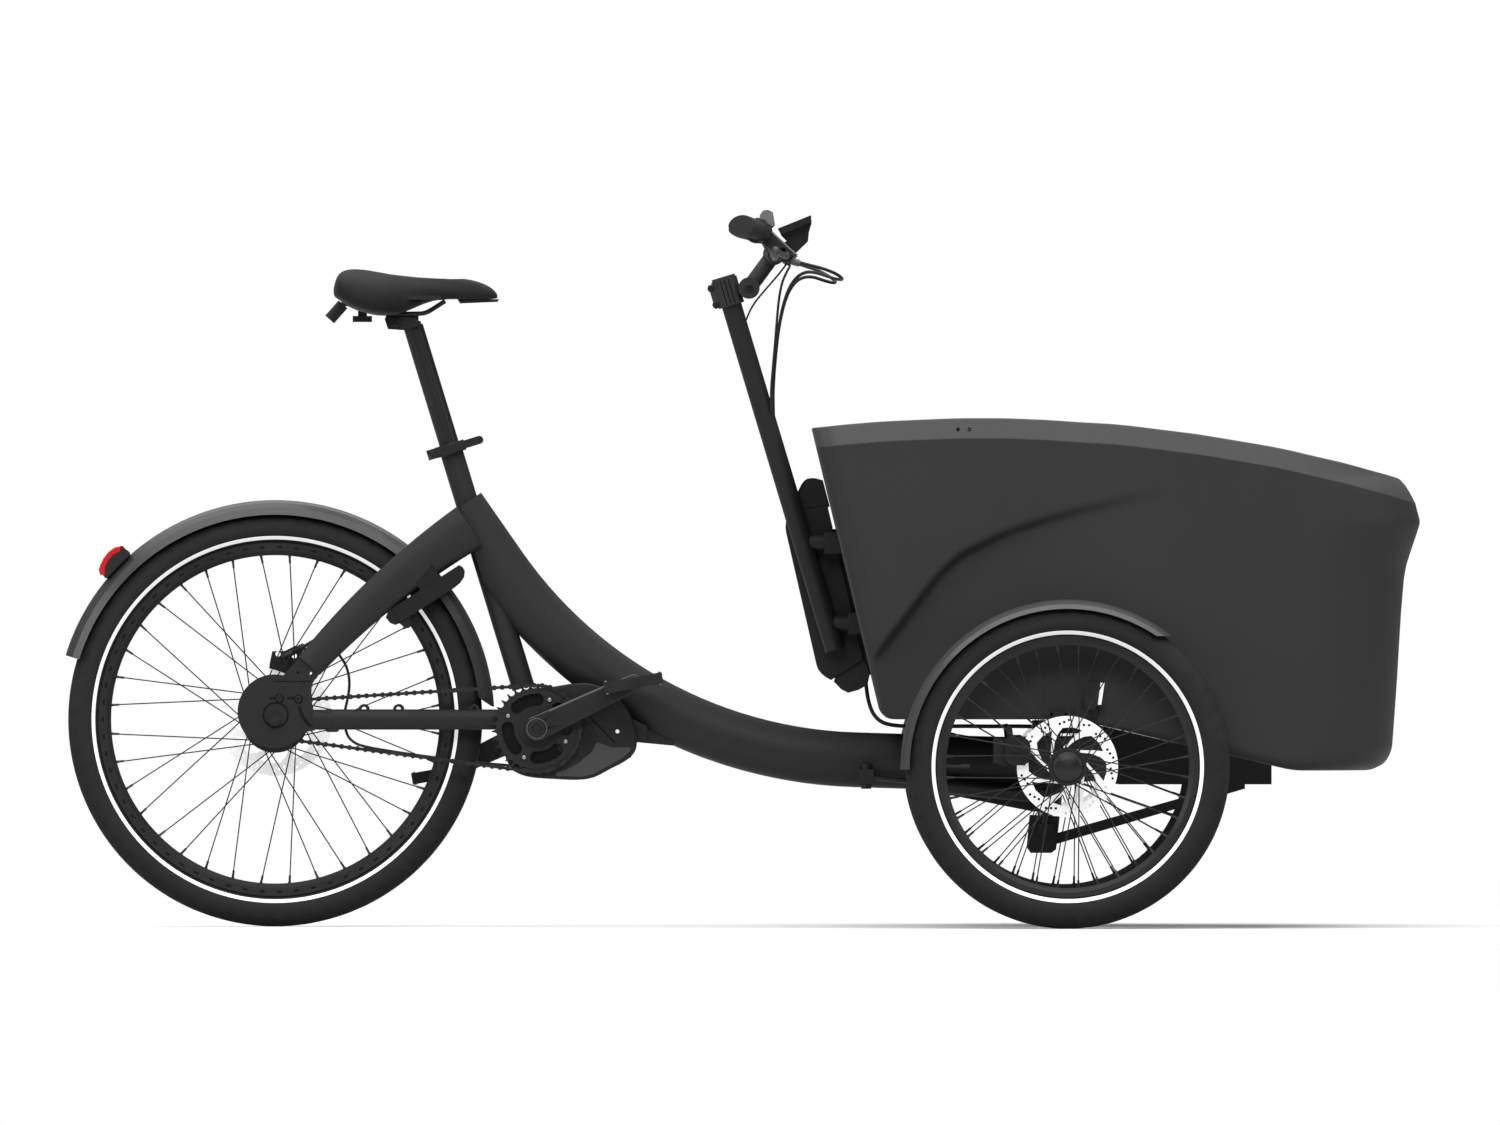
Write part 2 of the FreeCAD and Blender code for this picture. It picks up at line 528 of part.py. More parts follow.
# cranks
ca = math.radians(CRANK_ANG)
cd = V(math.cos(ca), 0, math.sin(ca))
cn = V(-math.sin(ca), 0, math.cos(ca))
arms, axles = [], []
for sgn in (-1.0, 1.0):
    o = V(BB_X, 0, BB_Z)
    d = cd * (1.0 if sgn < 0 else -1.0)
    n = cn * (1.0 if sgn < 0 else -1.0)
    y0, y1 = (-84.0, -70.0) if sgn < 0 else (70.0, 84.0)
    e = o + d * CRANK_LEN
    pts = [o + n * 19.5, o + d * 60 + n * 18, o + d * 135 + n * 15.5, e + n * 12.5, e - n * 12.5,
           o + d * 135 - n * 15.5, o + d * 60 - n * 18, o - n * 19.5]
    bar = poly([(p.x, p.z) for p in pts], y0, y1)
    arm = bar.fuse(cyl((o.x, y0, o.z), YAX, 20.0, 14)).fuse(cyl((e.x, y0, e.z), YAX, 13.0, 14))
    arm = arm.cut([cyl((o.x, -120, o.z), YAX, 14.0, 240), cyl((e.x, -120, e.z), YAX, 4.6, 240)])
    arms.append(biggest(arm.removeSplitter()))
    ya = (-190.0, 119.0) if sgn < 0 else (71.0, 119.0)
    axles.append(cyl((e.x, ya[0], e.z), YAX, 4.6, ya[1]))
keep("crank_arms", Part.makeCompound(arms))
spindle = cyl((BB_X, -82, BB_Z), YAX, 14.0, 164)
keep("crank_axles", group(spindle, *axles))

# pedals
for nm, sgn in (("right_pedal", -1.0), ("left_pedal", 1.0)):
    e = V(BB_X, 0, BB_Z) + cd * (CRANK_LEN * (1.0 if sgn < 0 else -1.0))
    y0, y1 = (-186.0, -92.0) if sgn < 0 else (92.0, 186.0)
    p = box(e.x - 47, e.x + 47, y0, y1, e.z - 9, e.z + 9)
    for x0, x1 in ((-39, -11), (11, 39)):
        p = p.cut(box(e.x + x0, e.x + x1, y0 + 10, y1 - 10, e.z - 20, e.z + 20))
    p = p.fuse(cyl((e.x, y0, e.z), YAX, 10.5, 94))
    p = p.cut(cyl((e.x, -200, e.z), YAX, 4.6 + RUN, 400))
    p.rotate(e, V(0, 1, 0), -10.0)
    keep(nm, biggest(p))

# ---------------------------------------------------------------- seat
SC = ST_T - ST_D * 3.0
collar = Part.makeCylinder(24.0, 17.0, SC - ST_D * 8.5, ST_D)
ear_x = V(ST_D.z, 0, -ST_D.x)           # forward, square to the seat tube
ears = slab(SC, ear_x, ST_D, -38, -20, -24.0, -6.0, -8, 8)
collar = collar.fuse(ears)
collar = collar.cut(Part.makeCylinder(SEAT_TUBE_R, 80, SC - ST_D * 40, ST_D))
lev_pin = SC + ear_x * -31.0 + YAX * -29.5
collar = collar.cut(Part.makeCylinder(3.4, 60, lev_pin - ST_D * 30, ST_D))
collar = biggest(collar)
keep("seat_clamp", collar)
lever = slab(SC, ear_x, ST_D, -31, 48, -34.0, -25.0, -6.5, 6.5)
lever = lever.fuse(Part.makeCylinder(6.5, 9.0, SC + ear_x * 48.0 + YAX * -34.0, YAX))
lever = lever.cut(slab(SC, ear_x, ST_D, -60, 60, -40, -24.6, -20, 20).common(
    Part.makeCylinder(25.0, 60, SC - ST_D * 30, ST_D)))
lever = lever.fuse(Part.makeCylinder(5.4, 13.0, lev_pin - ST_D * 6.5, ST_D))
keep("clamp_lever", biggest(lever))

PT = V(-520.5, 0, 948.0)                # top of the seat post
post = Part.makeCylinder(POST_R, 391.0, PT - ST_D * 385.0, ST_D)
HEAD = [(-567.5, 965.2), (-562.5, 949.8), (-535.7, 947.8), (-508.7, 955.6), (-510.6, 962.2), (-530, 969.2),
        (-566, 968)]
head_blk = poly(HEAD, -23, 23).cut(post)
keep("seatpost", group(post, biggest(head_blk)))

SADDLE = [(-649.3, 1003.7), (-647.4, 1024.9), (-641.5, 1036.5), (-633.9, 1042.2), (-622.3, 1043.8), (-593.4, 1039.4),
          (-555, 1032.5), (-516.5, 1028.4), (-477.8, 1026.5), (-439.4, 1025.7), (-422.1, 1024.9), (-404.7, 1020.1),
          (-391.2, 1011.4), (-385.5, 1002.8), (-386.4, 998.3), (-449, 997.5), (-468.3, 997.5), (-485.6, 995),
          (-504.9, 989.2), (-531.9, 977.6), (-547.3, 971.9), (-574.2, 969), (-593.4, 971.9), (-612.6, 977.7),
          (-626.1, 983.4), (-639.6, 994)]
PLAN = [(-652, -70), (-640, -88), (-610, -96), (-575, -90), (-540, -66), (-505, -42), (-460, -28), (-410, -24),
        (-384, -16), (-384, 16), (-410, 24), (-460, 28), (-505, 42), (-540, 66), (-575, 90), (-610, 96), (-640, 88),
        (-652, 70)]
cover = poly(SADDLE, -100, 100).common(plan(PLAN, 900, 1100))
pocket = box(-636, -476, -58, 58, 930, 1003)
cover = biggest(cover.cut(pocket))
keep("saddle_cover", cover)
sf = []
for sgn in (-1.0, 1.0):
    y = sgn * 21.0
    rail = cord([(-628, sgn * 32, 990), (-596, sgn * 28, 979), (-560, y, 973.6), (-503, y, 974.4), (-486, sgn * 17, 985),
                 (-472, sgn * 13, 994)], 3.5)
    sf.append(rail.cut(cover))
shell = box(-634, -478, -56, 56, 996, 1002.4)
nose = poly([(-452, 997.3), (-386, 997.3), (-388, 993), (-448, 990.5)], -11, 11)
bump = Part.makeCylinder(9.5, 32.0, V(-634, 0, 989), V(-0.66, 0, -0.75))
bump_arm = box(-640, -624, -40, 40, 986, 996)
clip = box(-618.4, -588, -17, 17, 961, 970.5)
clip_leg = box(-610, -596, -14, 14, 970.5, 996)
frame_s = shell.fuse(bump_arm).fuse(clip_leg).fuse(clip).fuse(bump)
frame_s = frame_s.cut(cover)
for r in sf:
    frame_s = frame_s.cut(r)
sf = [biggest(r.cut(head_blk)) for r in sf]
nose = nose.cut(cover)
keep("saddle_frame", group(biggest(frame_s), biggest(nose), *sf))

# ---------------------------------------------------------------- front assembly
OUTER = [(111.7, 791), (168, 798), (226, 802), (302, 805.6), (379, 806.8), (455, 805), (531.5, 800.4), (608, 794.4),
         (684, 786.1), (760, 775), (836.7, 762.3), (913, 745), (951, 737), (1030, 715), (1050, 707), (1062.5, 690.7),
         (1075.2, 643), (1058, 590.5), (1049.8, 555), (1045, 500), (1041.9, 450.6), (1035.5, 349), (1030.7, 285.2),
         (1018, 259.8), (992.6, 249.5), (871.7, 249.5), (522, 330.5), (252, 330.5), (228, 340), (215, 362)]
INNER = [(112, 840), (233, 347), (522, 344.5), (876, 263), (992, 263), (1010, 270), (1018, 290), (1023, 350),
         (1029.5, 451), (1033, 503), (1038, 558), (1046, 593), (1060, 640), (1050, 684), (1042, 700), (1036, 840)]


def plan_round(x0, x1, half, rr, rf):
    pts = []
    pts += [(x0 + rr - rr * math.sin(math.radians(t)), -half + rr - rr * math.cos(math.radians(t))) for t in (90, 60, 30, 0)]
    pts += [(x1 - rf + rf * math.sin(math.radians(t)), -half + rf - rf * math.cos(math.radians(t)))
            for t in (0, 15, 30, 45, 60, 75, 90)]
    return pts + [(x, -y) for x, y in pts[::-1]]


# the hollow beside each wheel: its upper edge outside and inside the wall
ARCH = [(150, 350), (219.8, 439.5), (331, 582.6), (430, 630), (537.8, 662), (680.9, 694), (760, 705), (760, 200), (150, 200)]
ARCH_IN = [(140, 352), (209.9, 447.2), (322.5, 592), (425, 642), (535, 674), (679, 706.5), (760, 717.5), (760, 200),
           (140, 200)]
outer_box = poly(OUTER, -BOX_HALF_W, BOX_HALF_W).common(plan(plan_round(90, 1075.2, BOX_HALF_W, 36, 150), 200, 900))
inner = poly(INNER, -BOX_HALF_W + BOX_WALL, BOX_HALF_W - BOX_WALL).common(
    plan(plan_round(100, 1063.2, BOX_HALF_W - BOX_WALL, 26, 138), 200, 900))
for sgn in (-1.0, 1.0):
    arch = plan([(760, sgn * 350.03), (60, sgn * 306), (60, sgn * 420), (760, sgn * 420)], 0, 900).common(
        poly(ARCH, -500, 500))
    arch_in = plan([(760, sgn * 338.03), (60, sgn * 294), (60, sgn * 420), (760, sgn * 420)], 0, 900).common(
        poly(ARCH_IN, -500, 500))
    outer_box = outer_box.cut(arch)
    inner = inner.cut(arch_in)
cargo_box = biggest(outer_box.cut(inner))
keep("cargo_box", cargo_box)

# subframe under the box
king_hole = Part.makeCylinder(KING_R, 400, KING_P - KING_D * 100, KING_D)
yoke = biggest(box(462, 545, -34, 34, 307, 328).cut(king_hole).cut(outer_box))
beam = biggest(poly([(535, 334), (560, 331), (842, 263), (842, 226), (600, 226), (535, 236)], -30, 30).cut(yoke).cut(outer_box))
cross = cyl((560, -318, 262), YAX, 20.0, 636).cut(beam)
END = [(398, 300), (575, 302), (590, 238), (500, 226), (398, 262)]
sub = [yoke, beam, cross]
for sgn in (-1.0, 1.0):
    sub.append(poly(END, 318 if sgn > 0 else -330, 330 if sgn > 0 else -318))
    hang = box(548, 572, 290 if sgn > 0 else -318, 318 if sgn > 0 else -290, 262, 322)
    sub.append(biggest(hang.cut(cross).cut(outer_box)))
    sub.append(cyl((FRONT_X, 330 if sgn > 0 else -330 - 78, FZ), YAX, 10.0, 78))
keep("front_subframe", group(*sub))
keep("kingpin", Part.makeCylinder(KING_R, 209.0, KING_P - KING_D * 57.0, KING_D))

BLOCK = [(457.7, 177.4), (505.5, 175.0), (499.7, 122.6), (492, 117), (459, 117), (453, 126.2)]
blk = poly(BLOCK, -22, 22).cut(king_hole)
strut = biggest(poly([(496, 147), (800, 233), (800, 219), (500, 131)], -14, 14).cut(poly(BLOCK, -22, 22)).cut(beam))
arm = box(470, 496, -50, -22, 148, 163)
pin_p = KING_P - KING_D * 22.2 + YAX * DAMPER_Y
pinb = biggest(Part.makeCylinder(4.0, 72.0, pin_p, KING_D).cut(arm))
keep("lower_yoke", group(blk, strut, arm, pinb))

# steering damper: rod on the rear frame, cylinder drawn along by the pin
DA = V(197.6, DAMPER_Y, 238.0)
DD = V(KING_D.z, 0, -KING_D.x)
S_PIN = (KING_P + YAX * DAMPER_Y - DA).dot(DD)
rod = Part.makeCylinder(4.0, 205.0, DA, DD)
brk = box(186, 210, -51, -18, 226, 250).cut(main_tube)
bolt = Part.makeCylinder(8.0, 40.0, V(197.6, DAMPER_Y, 219), V(0, 0, 1))
keep("damper_rod", biggest(rod.fuse(biggest(brk)).fuse(bolt).removeSplitter()))
bar = Part.makeCylinder(14.0, 150.0, DA + DD * 110, DD).fuse(Part.makeCylinder(11.0, 20.0, DA + DD * 92, DD))
bar = bar.fuse(Part.makeCylinder(6.0, 22.0, DA + DD * 258, DD))
fork = slab(DA, DD, KING_D, S_PIN - 13, S_PIN + 13, -8.0, 13.0, -6, 6)
bar = bar.fuse(fork)
bar = bar.cut(slab(DA, DD, KING_D, S_PIN - 5.4, S_PIN + 5.4, -5.0, 20.0, -12, 12))
bar = bar.cut(Part.makeCylinder(4.0 + RUN, 160.0, DA + DD * 90, DD))
keep("damper_cylinder", biggest(bar))

# front mudguards, held to the box by two short brackets each
ff = []
for sgn in (-1.0, 1.0):
    g = guard(FRONT_X, sgn * TRACK_HALF, FZ, 264.0, 249.5, 33.0, 2.2, 49.0, 181.0)
    g = biggest(g.cut(box(610, 760, -600, 600, 300, 462.4)))
    for a in (68.0, 118.0, 160.0):
        c = V(FRONT_X + 254 * math.cos(math.radians(a)), 0, FZ + 254 * math.sin(math.radians(a)))
        b = box(c.x - 9, c.x + 9, 318 if sgn > 0 else -364.5, 364.5 if sgn > 0 else -318, c.z - 5, c.z + 5)
        b = b.cut(outer_box)
        if b.Solids:
            g = g.fuse(biggest(b))
    ff.append(biggest(g))
keep("front_fenders", Part.makeCompound(ff))

# front calipers
fc = []
for sgn in (-1.0, 1.0):
    y0, y1 = (341.0, 372.0)
    CAL = [(416, 298), (424, 303), (446, 303), (455, 296), (457, 280), (455, 264), (446, 258), (428, 258), (417, 266)]
    c = poly(CAL, sgn * y0 if sgn > 0 else -y1, sgn * y1 if sgn > 0 else -y0)
    m = poly([(416, 298), (446, 300), (446, 264), (416, 268)], 330 if sgn > 0 else -341, 341 if sgn > 0 else -330)
    ear = poly([(420, 300), (418, 316), (420.5, 321), (425, 321), (427.5, 316), (430, 300)], 344 if sgn > 0 else -352, 352 if sgn > 0 else -344)
    c = c.fuse(m).fuse(ear)
    yd = TRACK_HALF + DISC_W
    c = c.cut(cyl((FRONT_X, sgn * yd - 2.6, FZ), YAX, FRONT_DISC_R + 2.5, 5.2))
    c = c.cut(outer_box)
    fc.append(biggest(c))
keep("front_calipers", Part.makeCompound(fc))

# headlights between the box and the wheels
hl = []
for sgn in (-1.0, 1.0):
    def yb(a, b):
        return (a, b) if sgn > 0 else (-b, -a)
    y0, y1 = yb(339.0, 363.0)
    body = poly([(539.5, 384), (542, 388.5), (567, 388.5), (562.8, 354), (560.5, 351), (556, 346), (548, 346), (541.5, 353)], y0, y1)
    y0, y1 = yb(341.0, 361.0)
    lens = poly([(567, 388.5), (573.4, 388.5), (568.2, 353.8), (562.8, 354)], y0, y1)
    y0, y1 = yb(326.0, 347.0)
    plate_h = poly([(480, 334), (562, 334), (562, 346), (550, 354), (540, 352), (532, 343), (480, 343)], y0, y1)
    plate_h = plate_h.cut([cyl((490, -400, 338.5), YAX, 2.6, 800), cyl((512, -400, 338.5), YAX, 2.6, 800)])
    body = body.fuse(plate_h).cut(outer_box)
    hl += [biggest(body), lens]
keep("headlights", Part.makeCompound(hl))

# steering column with its two brackets to the box
CO_B, CO_T = V(148.3, 0, 439.5), V(-28.7, 0, 1029.4)
CO_D = (CO_T - CO_B) / (CO_T - CO_B).Length
column = Part.makeCylinder(COLUMN_R, (CO_T - CO_B).Length, CO_B, CO_D)
full_col = column
for z, xa in ((609.5, 97.0), (481.5, 135.0)):
    stub = cyl((xa, 0, z), V(1, 0, 0), 12.5, 34)
    blk2 = box(xa + 34, xa + 80, -19, 19, z - 17, z + 17)
    column = column.fuse(stub.fuse(blk2).cut(outer_box))
column = biggest(column.removeSplitter())
keep("steering_column", column)

# battery on its rail, left of the column
def wall_x(z):
    return 111.7 + (791 - z) * 0.24009


BAT = [(104.7, 712.2), (111.1, 713), (118, 712.6), (129.0, 709.5), (wall_x(668) - 1.2, 668), (wall_x(666) - 4.6, 666),
       (wall_x(634) - 4.6, 634), (wall_x(632) - 5.6, 632), (wall_x(471.3) - 5.6, 471.3), (193.5, 424), (142, 391.5),
       (133, 396.5), (126, 402.5), (121.5, 408.5), (118.7, 416.2), (70.6, 626), (69.6, 634.5), (70.4, 645), (75.5, 660),
       (89.7, 693), (95.5, 704), (99.5, 709)]
keep("battery", poly(BAT, 22, 106))
railb = poly([(wall_x(632) - 9.0, 632), (wall_x(632) + 3.0, 632), (wall_x(400) + 3.0, 400), (wall_x(400) - 9.0, 400)], 40, 88)
shoe = poly([(146.5, 389), (148.5, 396), (195, 426), (wall_x(402) - 1.0, 402), (200, 384), (186, 376), (169, 371.2), (158, 377)], 30, 98)
shoe = shoe.fuse(railb).cut(parts["battery"]).cut(outer_box)
keep("battery_mount", biggest(shoe.removeSplitter()))

# stem
st1 = Part.makeCylinder(21.0, 44.0, CO_T - CO_D * 44.0, CO_D)
cx_ = V(CO_D.z, 0, -CO_D.x)
st1 = st1.fuse(slab(CO_T, cx_, CO_D, -27, 0, -14, 14, -42, -3))
cap = Part.makeCylinder(19.0, 3.5, CO_T, CO_D)
st1 = st1.fuse(cap)
PV = V(11.5, 0, 1014.9)
BC = V(51.3, 0, 1069.0)
st1 = st1.fuse(cyl((PV.x, -19, PV.z), YAX, 17.0, 38))
st1 = st1.cut(Part.makeCylinder(COLUMN_R, 200, CO_T - CO_D * 200.0, CO_D))
ad = BC - PV
arm_s = Part.makeCylinder(12.5, ad.Length, PV, ad)
st2 = arm_s.fuse(cyl((BC.x, -21, BC.z), YAX, 17.5, 42))
st1 = st1.fuse(st2)
st1 = st1.cut(cyl((BC.x, -80, BC.z), YAX, BAR_R, 160))
st1 = st1.cut(Part.makeCylinder(COLUMN_R, 200, CO_T - CO_D * 200.0, CO_D))
stem = biggest(st1.removeSplitter())
keep("stem", stem)

# handlebar: straight middle, then up, out and back to the grips
GO = V(35.6, 140.0, 1101.8)
GE = V(3.6, 315.0, 1112.0)
HB = [(GE.x, -GE.y, GE.z), (GO.x, -GO.y, GO.z), (47.5, -92, 1080), (BC.x, -54, BC.z), (BC.x, 54, BC.z),
      (47.5, 92, 1080), (GO.x, GO.y, GO.z), (GE.x, GE.y, GE.z)]


def bent_bar(pts, r, fil):
    pts = [V(*p) for p in pts]
    edges, last = [], pts[0]
    for i in range(1, len(pts) - 1):
        a, b, c = pts[i - 1], pts[i], pts[i + 1]
        ua, uc = (a - b), (c - b)
        la, lc = ua.Length, uc.Length
        ua, uc = ua / la, uc / lc
        tn = math.pi - ua.getAngle(uc)
        t = min(fil, 0.48 * la, 0.48 * lc)
        rr = t / math.tan(tn / 2)
        s, e = b + ua * t, b + uc * t
        bb = ua + uc
        bb.normalize()
        m = b + bb * (rr / math.cos(tn / 2) - rr)
        edges += [Part.LineSegment(last, s).toShape(), Part.Arc(s, m, e).toShape()]
        last = e
    edges.append(Part.LineSegment(last, pts[-1]).toShape())
    return tube_along(Part.Wire(edges), r)


hbar = bent_bar(HB, BAR_R, 18.0)
keep("handlebar", hbar)

MD = V(0.7433, 0, -0.6690)              # from the bar towards the brake lever
grips, perches = [], []
for nm, sgn in (("right", -1.0), ("left", 1.0)):
    go, ge = V(GO.x, sgn * GO.y, GO.z), V(GE.x, sgn * GE.y, GE.z)
    g = ge - go
    L = g.Length
    g = g / L
    md = MD - g * MD.dot(g)
    md.normalize()
    aa = md.cross(g)                    # lever hinge direction, a pull is positive
    # grip with a palm wing behind and a closed outer end
    n_up = V(0, 0, 1) - g * g.z
    n_up.normalize()
    bk = n_up.cross(g) * sgn
    ends = []
    for s_, wing in ((72.0, 17.5), (182.0, 24.5)):
        c = Part.BSplineCurve()
        sec = [(wing, -1.0), (wing * 0.82, 8.0), (wing * 0.42, 14.4), (0, 16), (-11.5, 11.5), (-16, 0), (-11.5, -11.5),
               (0, -16), (wing * 0.48, -13.2), (wing * 0.84, -8.0)]
        c.interpolate([go + g * s_ + bk * a + n_up * b for a, b in sec], PeriodicFlag=True)
        ends.append(Part.Wire([c.toShape()]))
    gp = Part.makeLoft(ends, True, True)
    gp = gp.cut(Part.makeCylinder(BAR_R, 200.0, go + g * (L - 200), g))
    flange = Part.makeCylinder(18.0, 6.0, go + g * 66.0, g).cut(Part.makeCylinder(BAR_R, 20.0, go + g * 60, g))
    grips += [biggest(gp), biggest(flange)]
    # brake lever clamp and body
    B = go + g * 20.0
    pc = Part.makeCylinder(16.0, 14.0, B - g * 7.0, g)

    def blk_g(x0, x1, m0, m1, a0_, a1_):
        o = B + aa * a0_
        q = [o + g * x0 + md * m0, o + g * x1 + md * m0, o + g * x1 + md * m1, o + g * x0 + md * m1]
        return Part.Face(Part.makePolygon(q + [q[0]])).extrude(aa * (a1_ - a0_))

    pc = pc.fuse(blk_g(-20, 14, 10, 64, -10.5, 10.5))
    pc = pc.cut(blk_g(-4, 40, 44, 74, -6.3, 6.3))
    fer = V(86, sgn * 148, 1056)        # where the hose leaves the body
    fd = V(104, sgn * 142, 1051) - fer
    fd.normalize()
    pc = pc.fuse(Part.makeCylinder(4.6, 24.0, fer - fd * 18.0, fd))
    pc = pc.cut(Part.makeCylinder(BAR_R, 60.0, B - g * 30.0, g))
    P0 = B + md * 56.0 + g * 6.0
    pc = pc.fuse(Part.makeCylinder(2.5, 21.0, P0 - aa * 10.5, aa))
    perches.append(biggest(pc.removeSplitter().cut(hbar)))
    print(nm, "lever pivot", P0, "axis", aa)
    lv = Part.makeCylinder(7.0, 12.0, P0 - aa * 6.0, aa)
    blade = cord([tuple(P0), tuple(P0 + g * 30 + md * 6), tuple(P0 + g * 62 + md * 4), tuple(P0 + g * 98 - md * 1)], 4.6)
    ball = Part.makeSphere(6.5, P0 + g * 98 - md * 1)
    lv = lv.fuse(blade).fuse(ball)
    lv = lv.cut(Part.makeCylinder(2.5 + RUN, 40.0, P0 - aa * 20.0, aa))
    keep(nm + "_brake_lever", biggest(lv))
keep("grips", Part.makeCompound(grips))

# twist shifter on the right, between the brake clamp and the grip
go, ge = V(GO.x, -GO.y, GO.z), V(GE.x, -GE.y, GE.z)
g = (ge - go) / (ge - go).Length
sh = Part.makeCylinder(18.5, 26.0, go + g * 38.5, g)
ribs = []
for i in range(12):
    a = 2 * math.pi * i / 12
    n1 = V(0, 0, 1) - g * g.z
    n1.normalize()
    n2 = g.cross(n1)
    ribs.append(Part.makeCylinder(1.6, 24.0, go + g * 39.5 + (n1 * math.cos(a) + n2 * math.sin(a)) * 18.4, g))
sh = sh.fuse(ribs).cut(Part.makeCylinder(BAR_R + RUN, 80.0, go + g * 10, g))
keep("twist_shifter", biggest(sh))
print("shifter axis point", go + g * 51.5, "dir", g)
# indicator housing fixed beside it
ind_c = go + g * 31.0
ind = Part.makeCylinder(17.0, 6.5, ind_c - g * 1.6, g)
ind = ind.fuse(poly([(26, 1106), (28.7, 1129.5), (33.3, 1136.4), (41.3, 1138), (49.4, 1134), (52.9, 1113.3), (44, 1104)],
                    -174.5, -167.5))
ind = ind.cut(Part.makeCylinder(BAR_R, 60.0, go + g * 0, g))
ind = biggest(ind.cut(parts["twist_shifter"]).cut(Part.makeCompound(perches)).cut(hbar))
keep("brake_perches", group(ind, *perches))

# display in front of the stem
disp = poly([(57.2, 1109.3), (110.1, 1130.6), (111, 1120), (62.4, 1100.2)], -42, 42)
dbr = poly([(61, 1104), (110.5, 1124.5), (110.9, 1117), (106.9, 1104.4), (105.3, 1089), (86.3, 1070.7), (71.9, 1089),
            (62, 1099)], -15, 15)
leg = poly([(74, 1092), (90, 1074), (66, 1056), (52, 1076)], -10, 10)
disp = disp.fuse(dbr).fuse(leg)
disp = biggest(disp.cut(stem).cut(hbar))
keep("display", disp)

# hoses and cables at the handlebar, and the battery lead below the box
cc = [cord([(86, -148, 1056), (104, -142, 1051), (126, -130, 1046), (148, -110, 1038), (160, -86, 1030),
            (158, -62, 1027), (142, -44, 1031), (120, -34, 1039), (101, -28, 1041), (84, -23, 1030), (71, -18, 1006),
            (62, -14, 972), (56, -11.5, 932), (51.5, -10, 888), (47.5, -8.5, 846), (48.5, -8, 814)],
           2.6, "right brake hose"),
      cord([(86, 148, 1056), (103, 141, 1050), (122, 128, 1044), (140, 108, 1034), (150, 84, 1026), (147, 61, 1023),
            (131, 43, 1027), (111, 33, 1034), (92, 26, 1031), (77, 20, 1015), (67, 14.5, 990), (59.5, 10, 956),
            (54.5, 6, 916), (51, 4, 874), (49.5, 3.5, 840), (50.5, 3, 812)], 2.6, "left brake hose"),
      cord([(50, -158, 1080), (66, -150, 1063), (78, -132, 1051), (72, -108, 1041), (64, -84, 1024), (59, -60, 998),
            (56, -40, 966), (53, -26, 928), (49.5, -18, 888), (46, -14.5, 848), (47, -13.5, 818)],
           2.0, "gear cable"),
      cord([(82, 8, 1084), (80, 18, 1069), (71, 24, 1053), (58, 25, 1036), (44, 24, 1020), (31, 22, 1005),
            (19, 18, 990), (9.5, 12.5, 972), (3, 6.5, 953)], 1.5, "display lead"),
      cord([(197.5, 62, 388), (199, 62, 372), (202.5, 61, 354), (209, 59, 337), (222, 55, 324), (242, 50, 319),
            (270, 43, 318), (306, 35, 317.5), (348, 27, 318.5), (394, 21, 317.8), (434, 17, 318.4),
            (461.5, 15, 317.8)], 3.2, "battery lead")]
keep("control_cables", group(*cc))

# ---------------------------------------------------------------- export
os.makedirs("parts", exist_ok=True)
whole = FreeCAD.BoundBox()
bad = 0
for name, shape in parts.items():
    ok = shape.isValid() and len(shape.Solids) > 0
    if not ok:
        bad += 1
        print("CHECK", name, shape.isValid(), len(shape.Solids))
    if shape.ShapeType in ("Compound", "CompSolid") and len(shape.Solids) == 1:
        shape = shape.Solids[0]
    elif shape.ShapeType in ("Compound", "CompSolid"):
        shape = Part.makeCompound(shape.Solids)
    whole.add(shape.BoundBox)
    shape.exportStep("parts/%s.step" % name)
print(len(parts), "nodes", bad, "to check", whole)
print("chain pitch %.3f" % (total / LINKS), "seat", ST_D, "lever pin", lev_pin, "column", CO_D)
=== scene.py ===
import bpy
import bmesh
import math
from mathutils import Vector, Matrix


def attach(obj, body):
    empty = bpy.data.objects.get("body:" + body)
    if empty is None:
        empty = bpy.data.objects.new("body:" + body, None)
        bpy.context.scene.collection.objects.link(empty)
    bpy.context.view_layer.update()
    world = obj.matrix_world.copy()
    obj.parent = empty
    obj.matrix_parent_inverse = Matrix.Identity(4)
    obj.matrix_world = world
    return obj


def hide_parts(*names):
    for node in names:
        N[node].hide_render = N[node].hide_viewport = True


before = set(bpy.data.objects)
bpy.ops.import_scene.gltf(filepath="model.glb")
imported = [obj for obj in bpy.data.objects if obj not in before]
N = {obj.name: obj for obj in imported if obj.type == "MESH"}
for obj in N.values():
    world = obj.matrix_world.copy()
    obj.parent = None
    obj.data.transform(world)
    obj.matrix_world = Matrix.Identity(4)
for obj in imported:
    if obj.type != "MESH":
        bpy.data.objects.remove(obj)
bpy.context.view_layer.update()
scene = bpy.context.scene
MM = 0.001

REAR_C, REAR_R = (-0.7417, 0.0, 0.3292), 0.3292
FRONT_X, FRONT_Z, FRONT_R, TRACK = 0.5148, 0.2561, 0.2561, 0.396
BB = (-0.3254, 0.0, 0.3148)


# ------------------------------------------------------------------ camera
cam_data = bpy.data.cameras.new("camera")
cam_data.sensor_fit = "HORIZONTAL"
cam_data.sensor_width = 36.0
cam_data.lens = 905.7
cam_data.clip_start = 1.0
cam_data.clip_end = 200.0
cam_data.dof.use_dof = False
cam = bpy.data.objects.new("camera", cam_data)
cam.location = (0.0131, -60.0, 0.5786)
cam.rotation_euler = (math.radians(90.0), 0.0, 0.0)
scene.collection.objects.link(cam)
scene.camera = cam


# ------------------------------------------------------------------ materials
def srgb(v):
    v = v / 255.0
    return v / 12.92 if v <= 0.04045 else ((v + 0.055) / 1.055) ** 2.4


